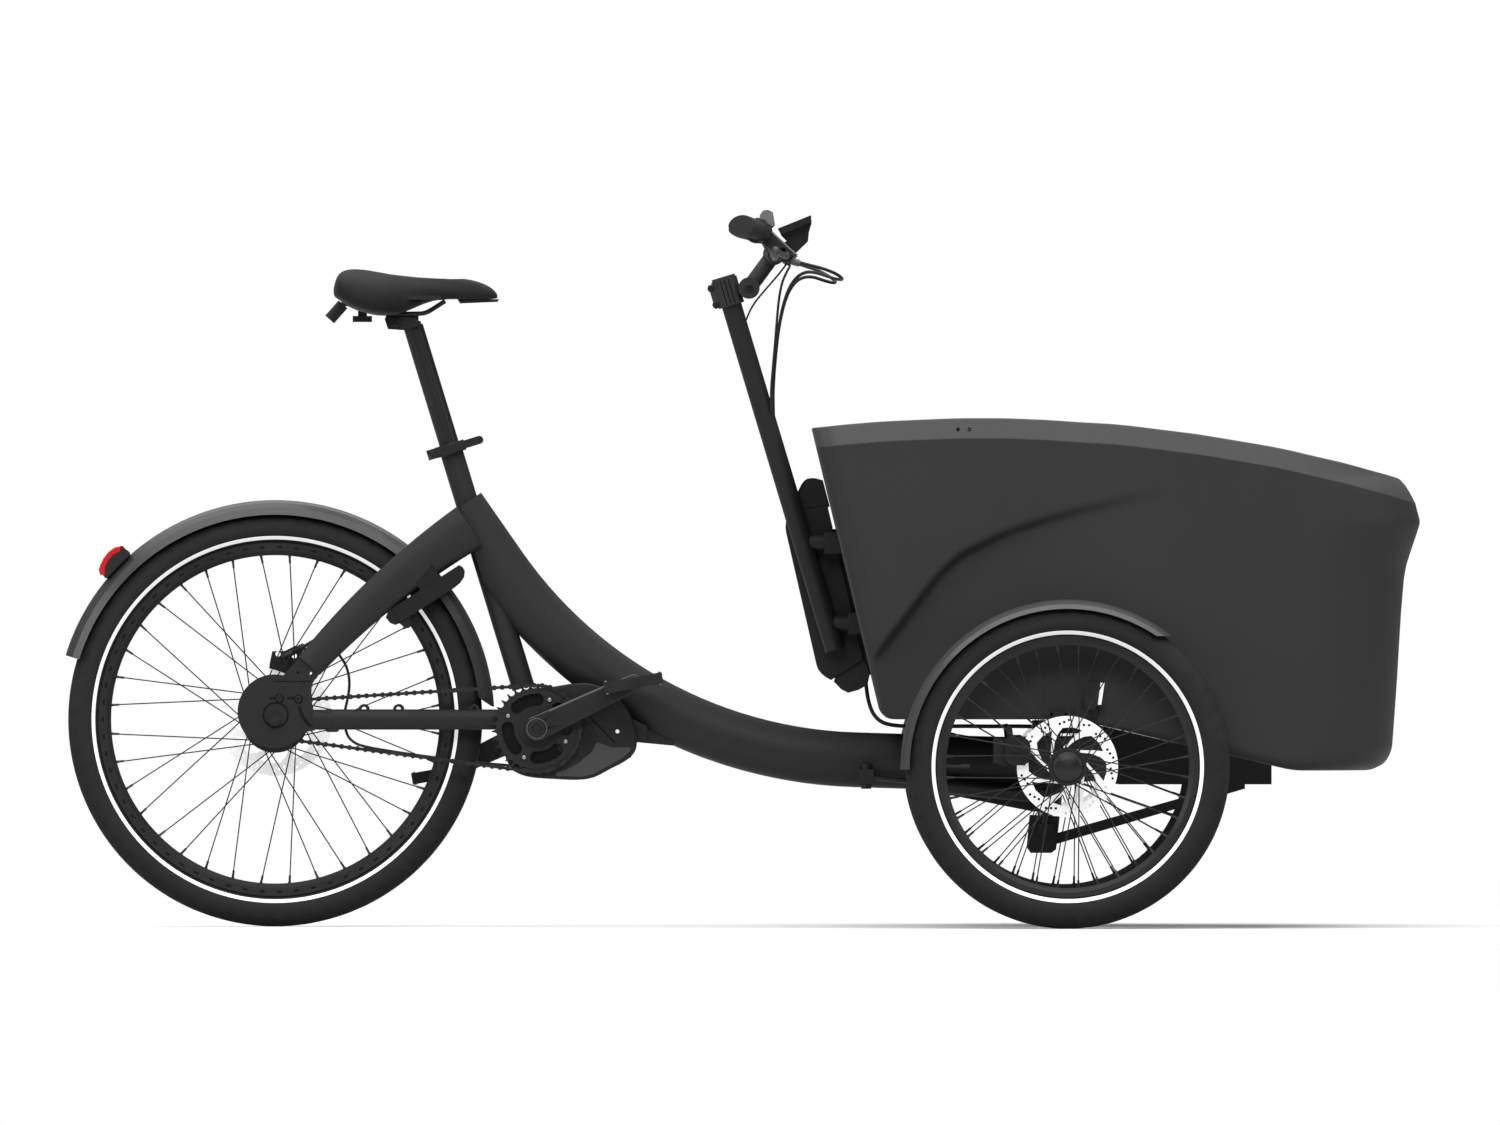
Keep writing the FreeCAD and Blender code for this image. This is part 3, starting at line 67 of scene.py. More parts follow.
def grey(v, warm=0.0):
    g = srgb(v)
    return (g * (1 + warm), g, g * (1 - warm), 1.0)


def surface(name, dark, light, rough=(0.5, 0.65), grain=1400.0, bump=0.12, depth=0.00015, blotch=7.0,
            metallic=0.0, spec=0.35, coat=0.0, sheen=0.0, stretch=(1.0, 1.0, 1.0), detail=4.0, glow=None):
    """A procedural surface: slow colour drift, fine grain as bump, roughness that follows both."""
    m = bpy.data.materials.new(name)
    m.use_nodes = True
    nt = m.node_tree
    lk = nt.links
    b = nt.nodes["Principled BSDF"]
    tc = nt.nodes.new("ShaderNodeTexCoord")
    mp = nt.nodes.new("ShaderNodeMapping")
    mp.inputs["Scale"].default_value = stretch
    lk.new(tc.outputs["Object"], mp.inputs["Vector"])
    n1 = nt.nodes.new("ShaderNodeTexNoise")
    n1.inputs["Scale"].default_value = blotch
    n1.inputs["Detail"].default_value = detail
    lk.new(mp.outputs["Vector"], n1.inputs["Vector"])
    rp = nt.nodes.new("ShaderNodeValToRGB")
    rp.color_ramp.elements[0].position = 0.32
    rp.color_ramp.elements[1].position = 0.68
    rp.color_ramp.elements[0].color = dark
    rp.color_ramp.elements[1].color = light
    lk.new(n1.outputs["Fac"], rp.inputs["Fac"])
    lk.new(rp.outputs["Color"], b.inputs["Base Color"])
    n2 = nt.nodes.new("ShaderNodeTexNoise")
    n2.inputs["Scale"].default_value = grain
    n2.inputs["Detail"].default_value = 2.0
    lk.new(mp.outputs["Vector"], n2.inputs["Vector"])
    mr = nt.nodes.new("ShaderNodeMapRange")
    mr.inputs["From Min"].default_value = 0.3
    mr.inputs["From Max"].default_value = 0.7
    mr.inputs["To Min"].default_value = rough[0]
    mr.inputs["To Max"].default_value = rough[1]
    mx = nt.nodes.new("ShaderNodeMath")
    mx.operation = "MULTIPLY_ADD"
    mx.inputs[1].default_value = 0.5
    lk.new(n1.outputs["Fac"], mx.inputs[0])
    hf = nt.nodes.new("ShaderNodeMath")
    hf.operation = "MULTIPLY"
    hf.inputs[1].default_value = 0.5
    lk.new(n2.outputs["Fac"], hf.inputs[0])
    lk.new(hf.outputs[0], mx.inputs[2])
    lk.new(mx.outputs[0], mr.inputs["Value"])
    lk.new(mr.outputs["Result"], b.inputs["Roughness"])
    bp = nt.nodes.new("ShaderNodeBump")
    bp.inputs["Strength"].default_value = bump
    bp.inputs["Distance"].default_value = depth
    lk.new(n2.outputs["Fac"], bp.inputs["Height"])
    lk.new(bp.outputs["Normal"], b.inputs["Normal"])
    b.inputs["Metallic"].default_value = metallic
    b.inputs["Specular IOR Level"].default_value = spec
    if coat:
        b.inputs["Coat Weight"].default_value = coat
        b.inputs["Coat Roughness"].default_value = 0.12
    if glow:
        b.inputs["Emission Color"].default_value = glow[0]
        b.inputs["Emission Strength"].default_value = glow[1]
    if sheen:
        b.inputs["Sheen Weight"].default_value = sheen
        b.inputs["Sheen Roughness"].default_value = 0.4
    return m


M = {
    "frame": surface("powder_coat", grey(35), grey(40), (0.48, 0.62), 2200.0, 0.10, 0.0001, 5.0, spec=0.30),
    # a darker copy of the frame's powder coat; on the chain stays the darker tone is painted shade
    "column": surface("column_coat", grey(29), grey(34), (0.48, 0.62), 2200.0, 0.10, 0.0001, 5.0, spec=0.28),
    "box": surface("box_shell", grey(47), grey(52), (0.56, 0.70), 1600.0, 0.16, 0.0002, 3.0, spec=0.28),
    # box rim: a lighter tone for the rim that faces the top light, a painted highlight
    "rim_painted_highlight": surface("box_rim_painted_highlight", grey(67), grey(73), (0.45, 0.58), 1600.0, 0.14, 0.0002, 4.0, spec=0.35),
    "stem": surface("stem_coat", grey(46), grey(52), (0.46, 0.60), 2200.0, 0.10, 0.0001, 9.0, spec=0.32),
    "inside": surface("box_inside", grey(44), grey(52), (0.6, 0.75), 900.0, 0.25, 0.0004, 5.0, spec=0.25),
    "plastic": surface("black_plastic", grey(26), grey(31), (0.50, 0.66), 1500.0, 0.18, 0.0002, 9.0, spec=0.30),
    "battery": surface("battery_case", grey(27), grey(32), (0.46, 0.60), 1500.0, 0.14, 0.0002, 9.0, spec=0.26),
    "lock": surface("lock_case", grey(8), grey(11), (0.46, 0.60), 1500.0, 0.14, 0.0002, 9.0, spec=0.28),
    "guard": surface("mudguard", grey(58), grey(63), (0.32, 0.42), 1300.0, 0.06, 0.0001, 6.0, spec=0.45, coat=0.12),
    # front mudguards: a lighter copy of the rear mudguard's plastic; the lighter tone is a painted highlight
    "guard_front": surface("mudguard_front_painted_highlight", grey(66), grey(72), (0.30, 0.40), 1300.0, 0.06, 0.0001, 6.0, spec=0.50, coat=0.15),
    "alloy": surface("black_alloy", grey(29), grey(34), (0.34, 0.46), 1800.0, 0.08, 0.0001, 12.0, metallic=0.35, spec=0.45),
    "lever": surface("lever_alloy", grey(66), grey(76), (0.34, 0.46), 1800.0, 0.08, 0.0001, 12.0, metallic=0.25, spec=0.45),
    "motor": surface("motor_casting", grey(41), grey(47), (0.46, 0.6), 1100.0, 0.22, 0.0003, 10.0, metallic=0.2, spec=0.35),
    "motor_band": surface("motor_guard", grey(70), grey(76), (0.42, 0.55), 1500.0, 0.12, 0.0002, 8.0, spec=0.35),
    "tyre": surface("tyre_rubber", grey(41), grey(48), (0.72, 0.88), 900.0, 0.25, 0.0004, 14.0, spec=0.2),
    # tyre line: its pale colour is its own; its glow is painted light that lifts it to white
    "stripe": surface("reflective_line_painted_glow", grey(236), grey(248), (0.42, 0.55), 2600.0, 0.12, 0.0001, 20.0, spec=0.4, glow=((1, 1, 1, 1), 0.52)),
    "rim": surface("rim_alloy", grey(34), grey(40), (0.30, 0.42), 1700.0, 0.05, 0.0001, 10.0, metallic=0.4, spec=0.5),
    "spoke": surface("spoke_steel", grey(36), grey(48), (0.28, 0.4), 900.0, 0.05, 0.0001, 30.0, metallic=0.6, spec=0.5),
    # brake discs: light steel, lifted to near white with a glow; the lift and the glow are painted reflection
    "disc": surface("disc_steel", grey(236), grey(250), (0.30, 0.42), 700.0, 0.06, 0.0001, 40.0, metallic=0.1, spec=0.5, glow=((1, 1, 1, 1), 0.50)),
    "steel": surface("plain_steel", grey(150), grey(172), (0.26, 0.38), 900.0, 0.06, 0.0001, 30.0, metallic=0.9),
    "chain": surface("chain_steel", grey(34), grey(52), (0.34, 0.5), 500.0, 0.12, 0.0001, 60.0, metallic=0.5),
    "rubber": surface("black_rubber", grey(47), grey(54), (0.66, 0.82), 1200.0, 0.25, 0.0002, 18.0, spec=0.2),
    "hose": surface("hose_jacket", grey(30), grey(37), (0.42, 0.54), 2600.0, 0.10, 0.0001, 30.0, spec=0.35),
    "gloss": surface("gloss_plastic", grey(30), grey(35), (0.14, 0.22), 1200.0, 0.02, 0.0001, 8.0, spec=0.5, coat=0.3),
    "groove": surface("shadow_gap", grey(12), grey(17), (0.6, 0.75), 1200.0, 0.08, 0.0001, 20.0, spec=0.15),
    # pale grey: the indicator's and hose ferrules' own colour, and a painted highlight on the display's top and on the
    # ring round the bar clamp
    "pale": surface("pale_plastic_and_painted_highlight", grey(112), grey(124), (0.40, 0.52), 1500.0, 0.10, 0.0001, 14.0, spec=0.4),
    # mid grey: painted highlights only, on the crank arms' tops, the ring and strip on each arm and the lever bodies'
    # upper edges
    "mid": surface("painted_highlight_grey", grey(92), grey(102), (0.46, 0.58), 1500.0, 0.12, 0.0001, 14.0, spec=0.4),
    "red": surface("red_lens", (0.62, 0.012, 0.02, 1), (0.80, 0.025, 0.03, 1), (0.18, 0.28), 260.0, 0.25, 0.0004, 30.0, spec=0.4,
                   glow=((1.0, 0.02, 0.03, 1), 0.10)),
    "lens": surface("white_lens", grey(238), grey(250), (0.10, 0.18), 220.0, 0.25, 0.0006, 30.0, spec=0.5, coat=0.5, glow=((1, 1, 1, 1), 0.55)),
    "saddle": surface("saddle_cover", grey(20), grey(24), (0.56, 0.70), 620.0, 0.30, 0.0004, 16.0, spec=0.22, sheen=0.05),
}


def paint(node, key):
    me = N[node].data
    me.materials.clear()
    me.materials.append(M[key])


def paint_faces(node, keys, pick):
    """Give each face of a CAD node one of several materials by its middle point."""
    me = N[node].data
    me.materials.clear()
    for k in keys:
        me.materials.append(M[k])
    for p in me.polygons:
        p.material_index = pick(p.center, p.normal)


for node, key in {
    # the chain stays take the darker column coat: painted shade low on the frame
    "main_tube": "frame", "seat_tube": "frame", "upper_stays": "frame", "chain_stays": "column", "head_tube": "frame",
    "kingpin_bearings": "steel", "motor_unit": "motor", "motor_cover": "plastic", "rear_axle": "alloy",
    "rear_fender": "guard", "ring_lock": "lock", "rear_caliper": "alloy", "chain": "chain", "seat_clamp": "alloy",
    "damper_rod": "alloy", "seatpost": "alloy", "saddle_frame": "plastic", "clamp_lever": "alloy",
    "crank_axles": "alloy", "chainring": "plastic", "right_pedal": "plastic", "left_pedal": "plastic",
    # the rear disc takes the disc material with its painted glow
    "sprocket": "chain", "rear_rim": "rim", "rear_spokes": "spoke", "rear_hub": "alloy", "rear_disc": "disc",
    # the front fenders take the lighter mudguard copy, a painted highlight
    "front_subframe": "frame", "lower_yoke": "frame", "kingpin": "steel", "front_fenders": "guard_front",
    "front_calipers": "alloy", "steering_column": "column", "stem": "stem", "handlebar": "alloy", "grips": "rubber",
    "battery": "battery", "battery_mount": "alloy", "twist_shifter": "rubber", "right_brake_lever": "lever",
    "left_brake_lever": "lever", "damper_cylinder": "alloy", "right_front_rim": "rim", "left_front_rim": "rim",
    "right_front_spokes": "spoke", "left_front_spokes": "spoke",
}.items():
    paint(node, key)

TAIL_LENS = [(-1020.2, 558.8), (-1022.8, 566.8), (-1020.3, 574.7), (-1015.1, 585.1), (-1007.4, 595.4), (-997.0, 603.2), (-984.0, 605.8),
             (-979.5, 600.1), (-989.2, 596.0), (-999.4, 591.4), (-1007.1, 582.3), (-1012.2, 571.9), (-1014.6, 557.4)]


def inside(poly, x, z):
    """Is a point of the side view inside an outline?"""
    hit = False
    for (x0, z0), (x1, z1) in zip(poly, poly[1:] + poly[:1]):
        if (z0 > z) != (z1 > z) and x < x0 + (x1 - x0) * (z - z0) / (z1 - z0):
            hit = not hit
    return hit


paint_faces("tail_light", ["plastic", "red"], lambda c, n: 1 if inside(TAIL_LENS, c.x * 1000, c.z * 1000) else 0)
paint_faces("headlights", ["plastic", "lens"], lambda c, n: 1 if c.x > 0.5629 + (c.z - 0.354) * 0.1217 and c.z > 0.3537 else 0)
# the front discs' faces take the disc material with its painted glow
for s in ("right", "left"):
    paint_faces(s + "_front_hub", ["alloy", "disc"],
                lambda c, n: 1 if abs(abs(c.y) - (TRACK - 0.0366)) < 0.0013 and math.hypot(c.x - FRONT_X, c.z - FRONT_Z) > 0.0285 else 0)
# the crank arms' upward faces painted mid grey: a painted highlight
paint_faces("crank_arms", ["alloy", "mid"], lambda c, n: 1 if n.z > 0.75 and abs(c.y) > 0.0699 else 0)
# the display's upward faces painted pale: a painted highlight from the top light
paint_faces("display", ["gloss", "pale"], lambda c, n: 1 if n.z > 0.8 and c.z > 1.105 else 0)


def perch_colour(c, n):
    """Pale indicator and hose ferrules, and a painted highlight along each lever body's upper edge."""
    if (c.y < -0.162 and c.z > 1.112) or (c.x > 0.0785 and c.z < 1.0665):
        return 1
    # faces turned up along the lever body get the painted highlight
    up = 0.6669 * n.x + 0.0788 * abs(n.y) * (-1 if c.y * n.y > 0 else 1) + 0.7410 * n.z
    return 2 if up > 0.985 and c.x > 0.036 else 0


paint_faces("brake_perches", ["plastic", "pale", "mid"], perch_colour)


def soften(node, width, deg=38.0):
    """Round the sharp edges of a CAD node for the eye only."""
    o = N[node]
    w = o.modifiers.new("join", "WELD")
    w.merge_threshold = 0.00001
    b = o.modifiers.new("round", "BEVEL")
    b.width = width
    b.segments = 2
    b.limit_method = "ANGLE"
    b.angle_limit = math.radians(deg)
    b.use_clamp_overlap = True


for node, width in (("battery", 0.005), ("crank_arms", 0.0022), ("display", 0.0012), ("right_pedal", 0.0015), ("left_pedal", 0.0015),
                    ("ring_lock", 0.0016), ("seat_clamp", 0.0010), ("rear_caliper", 0.0014),
                    ("front_calipers", 0.0014), ("tail_light", 0.0020), ("clamp_lever", 0.0012), ("battery_mount", 0.0012)):
    soften(node, width)


def low_y(node):
    """How far out a CAD node reaches on the right side."""
    return min(v.co.y for v in N[node].data.vertices)


# ------------------------------------------------------------------ mesh helpers
def mesh_obj(name, verts, faces, mats, idx=None, smooth=True, body=None):
    me = bpy.data.meshes.new(name)
    me.from_pydata([tuple(v) for v in verts], [], faces)
    for k in mats:
        me.materials.append(M[k])
    if idx:
        for p, i in zip(me.polygons, idx):
            p.material_index = i
    bm = bmesh.new()
    bm.from_mesh(me)
    bmesh.ops.recalc_face_normals(bm, faces=bm.faces)
    bm.to_mesh(me)
    bm.free()
    for p in me.polygons:
        p.use_smooth = smooth
    o = bpy.data.objects.new(name, me)
    scene.collection.objects.link(o)
    if body:
        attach(o, body)
    return o


def axes_for(d):
    d = Vector(d).normalized()
    a = Vector((0, 0, 1)) if abs(d.z) < 0.9 else Vector((1, 0, 0))
    u = d.cross(a).normalized()
    return u, d.cross(u).normalized(), d


class Bits:
    """Small turned pieces gathered in one mesh per body."""

    def __init__(self):
        self.v, self.f, self.i = [], [], []

    def turned(self, p, d, prof, seg=20, mat=0, cap=True):
        """prof is (along, radius) from the foot to the top."""
        u, w, d = axes_for(d)
        p = Vector(p)
        base = len(self.v)
        for h, r in prof:
            for k in range(seg):
                a = 2 * math.pi * k / seg
                self.v.append(p + d * h + (u * math.cos(a) + w * math.sin(a)) * r)
        for j in range(len(prof) - 1):
            for k in range(seg):
                k2 = (k + 1) % seg
                self.f.append((base + j * seg + k, base + j * seg + k2, base + (j + 1) * seg + k2, base + (j + 1) * seg + k))
                self.i.append(mat)
        if cap:
            self.f.append(tuple(base + k for k in range(seg))[::-1])
            self.i.append(mat)
            self.f.append(tuple(base + (len(prof) - 1) * seg + k for k in range(seg)))
            self.i.append(mat)

    def bolt(self, p, d, r=0.004, h=0.004, mat=0, seg=24):
        self.turned(p, d, [(0, r), (h * 0.75, r), (h * 0.95, r * 0.9), (h, r * 0.78), (h, r * 0.55), (h * 0.35, r * 0.5)],
                    seg, mat)

    def ring(self, p, d, prof, seg=36, mat=0, a0=0.0, a1=360.0):
        """prof is a closed loop of (along, radius); a part ring is closed at its ends."""
        u, w, d = axes_for(d)
        p = Vector(p)
        whole = a1 - a0 > 359.9
        n = seg if whole else seg + 1
        base, m = len(self.v), len(prof)
        for k in range(n):
            a = math.radians(a0 + (a1 - a0) * k / seg)
            for h, r in prof:
                self.v.append(p + d * h + (u * math.cos(a) + w * math.sin(a)) * r)
        for k in range(seg):
            k2 = (k + 1) % n
            for j in range(m):
                j2 = (j + 1) % m
                self.f.append((base + k * m + j, base + k2 * m + j, base + k2 * m + j2, base + k * m + j2))
                self.i.append(mat)
        if not whole:
            self.f += [tuple(base + j for j in range(m)), tuple(base + (n - 1) * m + j for j in range(m))[::-1]]
            self.i += [mat, mat]

    def strip(self, pts, wide, n, h, mat=0):
        """A low rib of width wide along points on a face whose normal is n."""
        n = Vector(n).normalized()
        pts = [Vector(q) for q in pts]
        base, last = len(self.v), len(pts) - 1
        for i, q in enumerate(pts):
            t = (pts[min(i + 1, last)] - pts[max(i - 1, 0)]).normalized()
            s = t.cross(n).normalized()
            for a, b in ((-0.5, 0.0), (-0.5, 0.55), (-0.36, 1.0), (0.36, 1.0), (0.5, 0.55), (0.5, 0.0)):
                self.v.append(q + s * (a * wide) + n * (b * h))
        for i in range(last):
            for j in range(6):
                j2 = (j + 1) % 6
                self.f.append((base + i * 6 + j, base + i * 6 + 6 + j, base + i * 6 + 6 + j2, base + i * 6 + j2))
                self.i.append(mat)
        self.f += [tuple(base + j for j in range(6)), tuple(base + last * 6 + j for j in range(6))[::-1]]
        self.i += [mat, mat]

    def plate(self, pts, y0, y1, mat=0, bev=0.0008):
        """A flat plate in the side plane with a bevelled outer edge; pts are (X, Z)."""
        c = len(pts)
        turn = sum(pts[i][0] * pts[(i + 1) % c][1] - pts[(i + 1) % c][0] * pts[i][1] for i in range(c))
        sg = 1.0 if turn > 0 else -1.0
        inner = []
        for i in range(c):
            a, b, e = Vector(pts[i - 1]), Vector(pts[i]), Vector(pts[(i + 1) % c])
            n1 = Vector((-(b - a).y, (b - a).x)).normalized() * sg
            n2 = Vector((-(e - b).y, (e - b).x)).normalized() * sg
            m = (n1 + n2).normalized()
            inner.append(b + m * (bev / max(0.4, m.dot(n1))))
        base = len(self.v)
        yb = y1 + (bev if y1 < y0 else -bev)
        for row, y in ((pts, y0), (pts, yb), (inner, y1)):
            self.v += [Vector((q[0], y, q[1])) for q in row]
        for j in range(2):
            for i in range(c):
                i2 = (i + 1) % c
                self.f.append((base + j * c + i, base + j * c + i2, base + j * c + c + i2, base + j * c + c + i))
                self.i.append(mat)
        self.f += [tuple(base + i for i in range(c))[::-1], tuple(base + 2 * c + i for i in range(c))]
        self.i += [mat, mat]

    def build(self, name, mats, body):
        return mesh_obj(name, self.v, self.f, mats, self.i, True, body)


def edge_split(o, deg=35.0):
    """Keep hard corners hard on a smooth-shaded mesh."""
    m = o.modifiers.new("corners", "EDGE_SPLIT")
    m.split_angle = math.radians(deg)
    return o


# ------------------------------------------------------------------ cords
def cable(name, pts, dia, mat, body, node):
    cu = bpy.data.curves.new(name, "CURVE")
    cu.dimensions = "3D"
    cu.bevel_depth = dia / 2
    cu.bevel_resolution = 5
    cu.resolution_u = 16
    cu.use_fill_caps = True
    sp = cu.splines.new("NURBS")
    sp.points.add(len(pts) - 1)
    for q, p in zip(sp.points, pts):
        q.co = (p[0] * MM, p[1] * MM, p[2] * MM, 1.0)
    sp.order_u = 3
    sp.use_endpoint_u = True
    cu.materials.append(M[mat])
    o = bpy.data.objects.new(name, cu)
    scene.collection.objects.link(o)
    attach(o, body)
    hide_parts(node)
    return o


cable("right_brake_hose", [
    (86, -148, 1056), (104, -142, 1051), (126, -130, 1046), (148, -110, 1038), (160, -86, 1030), (158, -62, 1027),
    (142, -44, 1031), (120, -34, 1039), (101, -28, 1041), (84, -23, 1030), (71, -18, 1006), (62, -14, 972),
    (56, -11.5, 932), (51.5, -10, 888), (47.5, -8.5, 846), (48.5, -8, 814)], 0.0052, "hose", "front", "control_cables")
cable("left_brake_hose", [
    (86, 148, 1056), (103, 141, 1050), (122, 128, 1044), (140, 108, 1034), (150, 84, 1026), (147, 61, 1023),
    (131, 43, 1027), (111, 33, 1034), (92, 26, 1031), (77, 20, 1015), (67, 14.5, 990), (59.5, 10, 956),
    (54.5, 6, 916), (51, 4, 874), (49.5, 3.5, 840), (50.5, 3, 812)], 0.0052, "hose", "front", "control_cables")
cable("gear_cable", [
    (50, -158, 1080), (66, -150, 1063), (78, -132, 1051), (72, -108, 1041), (64, -84, 1024), (59, -60, 998),
    (56, -40, 966), (53, -26, 928), (49.5, -18, 888), (46, -14.5, 848), (47, -13.5, 818)], 0.004, "hose", "front",
    "control_cables")
cable("display_lead", [
    (82, 8, 1084), (80, 18, 1069), (71, 24, 1053), (58, 25, 1036), (44, 24, 1020), (31, 22, 1005), (19, 18, 990),
    (9.5, 12.5, 972), (3, 6.5, 953)], 0.003, "hose", "front", "control_cables")
cable("battery_lead", [
    (197.5, 62, 388), (199, 62, 372), (202.5, 61, 354), (209, 59, 337), (222, 55, 324), (242, 50, 319),
    (270, 43, 318), (306, 35, 317.5), (348, 27, 318.5), (394, 21, 317.8), (434, 17, 318.4),
    (461.5, 15, 317.8)], 0.0064, "hose", "front", "control_cables")
cable("rear_brake_hose", [
    (-704, 57, 440), (-689, 57.5, 450.5), (-672, 57, 459), (-653, 58, 467), (-636, 60.5, 477.5)],
    0.005, "hose", "frame", "rear_hoses")
cable("hub_gear_cable", [
    (-645, 64.5, 437), (-634, 66.5, 423), (-626.5, 69, 406), (-624, 74.5, 385), (-627, 80.5, 363), (-632.5, 85, 341),
    (-632, 85, 319), (-628, 81, 302), (-616, 75.5, 290.5), (-598, 70.5, 285), (-570, 65.5, 280), (-528, 59.5, 273.6),
    (-476, 53, 266.5), (-424, 47, 260), (-384, 41.5, 257), (-356, 37, 254.5)], 0.0044, "hose", "frame", "rear_hoses")


# ------------------------------------------------------------------ tyres
def tyre(name, c, R, rs, seat, stripe, body, node, blocks):
    """Turned tyre with cut tread and a pale line on both walls; the line's glow is painted light."""
    rc = R - rs
    a_in = math.degrees(math.asin(max(-1, (stripe[0] - rc) / rs)))
    a_out = math.degrees(math.asin((stripe[1] - rc) / rs))
    a_bead = -math.degrees(math.acos(0.011 / rs))
    angs = [a_bead, (a_bead + a_in) / 2, a_in, (a_in + a_out) / 2, a_out, a_out + 9, a_out + 18, a_out + 30]
    tread = [22, 30, 38, 46, 54, 62, 70, 78, 84, 90]
    angs = [a for a in angs if a < 18] + tread
    full = angs + [180 - a for a in angs[-2::-1]]
    seg = blocks * 8
    prof = [(0.011, seat + 0.0008)] + [(rs * math.cos(math.radians(a)), rc + rs * math.sin(math.radians(a))) for a in full] + [(-0.011, seat + 0.0008)]
    np_ = len(prof)
    verts, faces, idx = [], [], []
    for k in range(seg):
        t = 2 * math.pi * k / seg
        for j, (w, r) in enumerate(prof):
            rr, ww = r, w
            if 0 < j < np_ - 1:
                a = full[j - 1]
                off = abs(90 - a)
                if off < 70:
                    ph = (k + (off / 9.0)) % 8
                    cut = 0.0
                    if off < 3:
                        cut = 0.0
                    elif 4 < off < 7:
                        cut = 0.0016
                    elif 10 < off < 30:
                        cut = 0.0017 if ph < 2.0 else 0.0
                    elif 30 <= off < 38:
                        cut = 0.0014
                    elif 38 <= off < 62:
                        cut = 0.0015 if 3.0 < ph < 5.0 else 0.0
                    rr -= cut * math.sin(math.radians(a))
                    ww -= cut * math.cos(math.radians(a))
            verts.append((c[0] + rr * math.cos(t), c[1] + ww, c[2] + rr * math.sin(t)))
    n_side = len([a for a in angs if a <= a_in + 1e-6])
    for k in range(seg):
        k2 = (k + 1) % seg
        for j in range(np_):
            j2 = (j + 1) % np_
            faces.append((k * np_ + j, k * np_ + j2, k2 * np_ + j2, k2 * np_ + j))
            mid = None
            if 0 < j < np_ - 2:
                a, b = full[j - 1], full[j]
                lo, hi = sorted((min(a, 180 - a), min(b, 180 - b)))
                mid = (lo + hi) / 2
            idx.append(1 if mid is not None and a_in < mid < a_out else 0)
    o = mesh_obj(name, verts, faces, ["tyre", "stripe"], idx, True, body)
    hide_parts(node)
    return o


tyre("rear_tyre_look", REAR_C, REAR_R, 0.025, 0.2725, (0.2860, 0.2916), "rear_wheel", "rear_tyre", 64)
for s, sg in (("right", -1), ("left", 1)):
    tyre(s + "_front_tyre_look", (FRONT_X, sg * TRACK, FRONT_Z), FRONT_R, 0.026, 0.1985, (0.2090, 0.2150),
         s + "_front_wheel", s + "_front_tyre", 50)


# ------------------------------------------------------------------ spoke nipples, valves, hub bolts
def wheel_bits(name, c, side, flange_r, flange_w, rim_r, body, disc_w, valve_at, bolts_r):
    b = Bits()
    step = 10.0
    for f, w in ((0, flange_w), (1, -flange_w)):
        for j in range(18):
            lead = j % 2 == 0
            h = 2 * step * j + step * f + 5.0
            q = h + (4 * step if lead else -4 * step)
            dw = 0.0014 if lead else -0.0014
            wr = (0.0025 if w > 0 else -0.0025) + dw
            ha, qa = math.radians(h), math.radians(q)
            p0 = Vector((c[0] + flange_r * math.cos(ha), c[1] + side * (w + dw), c[2] + flange_r * math.sin(ha)))
            p1 = Vector((c[0] + rim_r * math.cos(qa), c[1] + side * wr, c[2] + rim_r * math.sin(qa)))
            d = (p0 - p1).normalized()
            b.turned(p1 - d * 0.001, d, [(0, 0.0024), (0.003, 0.0024), (0.004, 0.0019), (0.013, 0.0018), (0.014, 0.0011)], 8, 0)
    va = math.radians(valve_at)
    vp = Vector((c[0] + rim_r * math.cos(va), c[1], c[2] + rim_r * math.sin(va)))
    vd = Vector((-math.cos(va), 0, -math.sin(va)))
    b.turned(vp, vd, [(0, 0.0042), (0.003, 0.0042), (0.0035, 0.003), (0.024, 0.003), (0.025, 0.004), (0.036, 0.004), (0.038, 0.003)], 14, 1)
    for k in range(6):
        a = math.radians(60 * k + 30)
        b.bolt((c[0] + bolts_r * math.cos(a), c[1] + side * (disc_w + (0.001 if disc_w > 0 else -0.001)), c[2] + bolts_r * math.sin(a)),
               (0, side if disc_w > 0 else -side, 0), 0.0042, 0.003, 2, 16)
        b.bolt((c[0] + bolts_r * math.cos(a), c[1] + side * (disc_w - (0.001 if disc_w > 0 else -0.001)), c[2] + bolts_r * math.sin(a)),
               (0, -side if disc_w > 0 else side, 0), 0.0042, 0.002, 2, 16)
    return edge_split(b.build(name, ["spoke", "rubber", "alloy"], body))


wheel_bits("rear_wheel_bits", REAR_C, 1.0, 0.047, 0.030, 0.2615, "rear_wheel", 0.052, 0.0, 0.022)
for s, sg in (("right", -1.0), ("left", 1.0)):
    wheel_bits(s + "_wheel_bits", (FRONT_X, sg * TRACK, FRONT_Z), sg, 0.026, 0.019, 0.1925, s + "_front_wheel",
               -0.0366, 180.0, 0.0225)


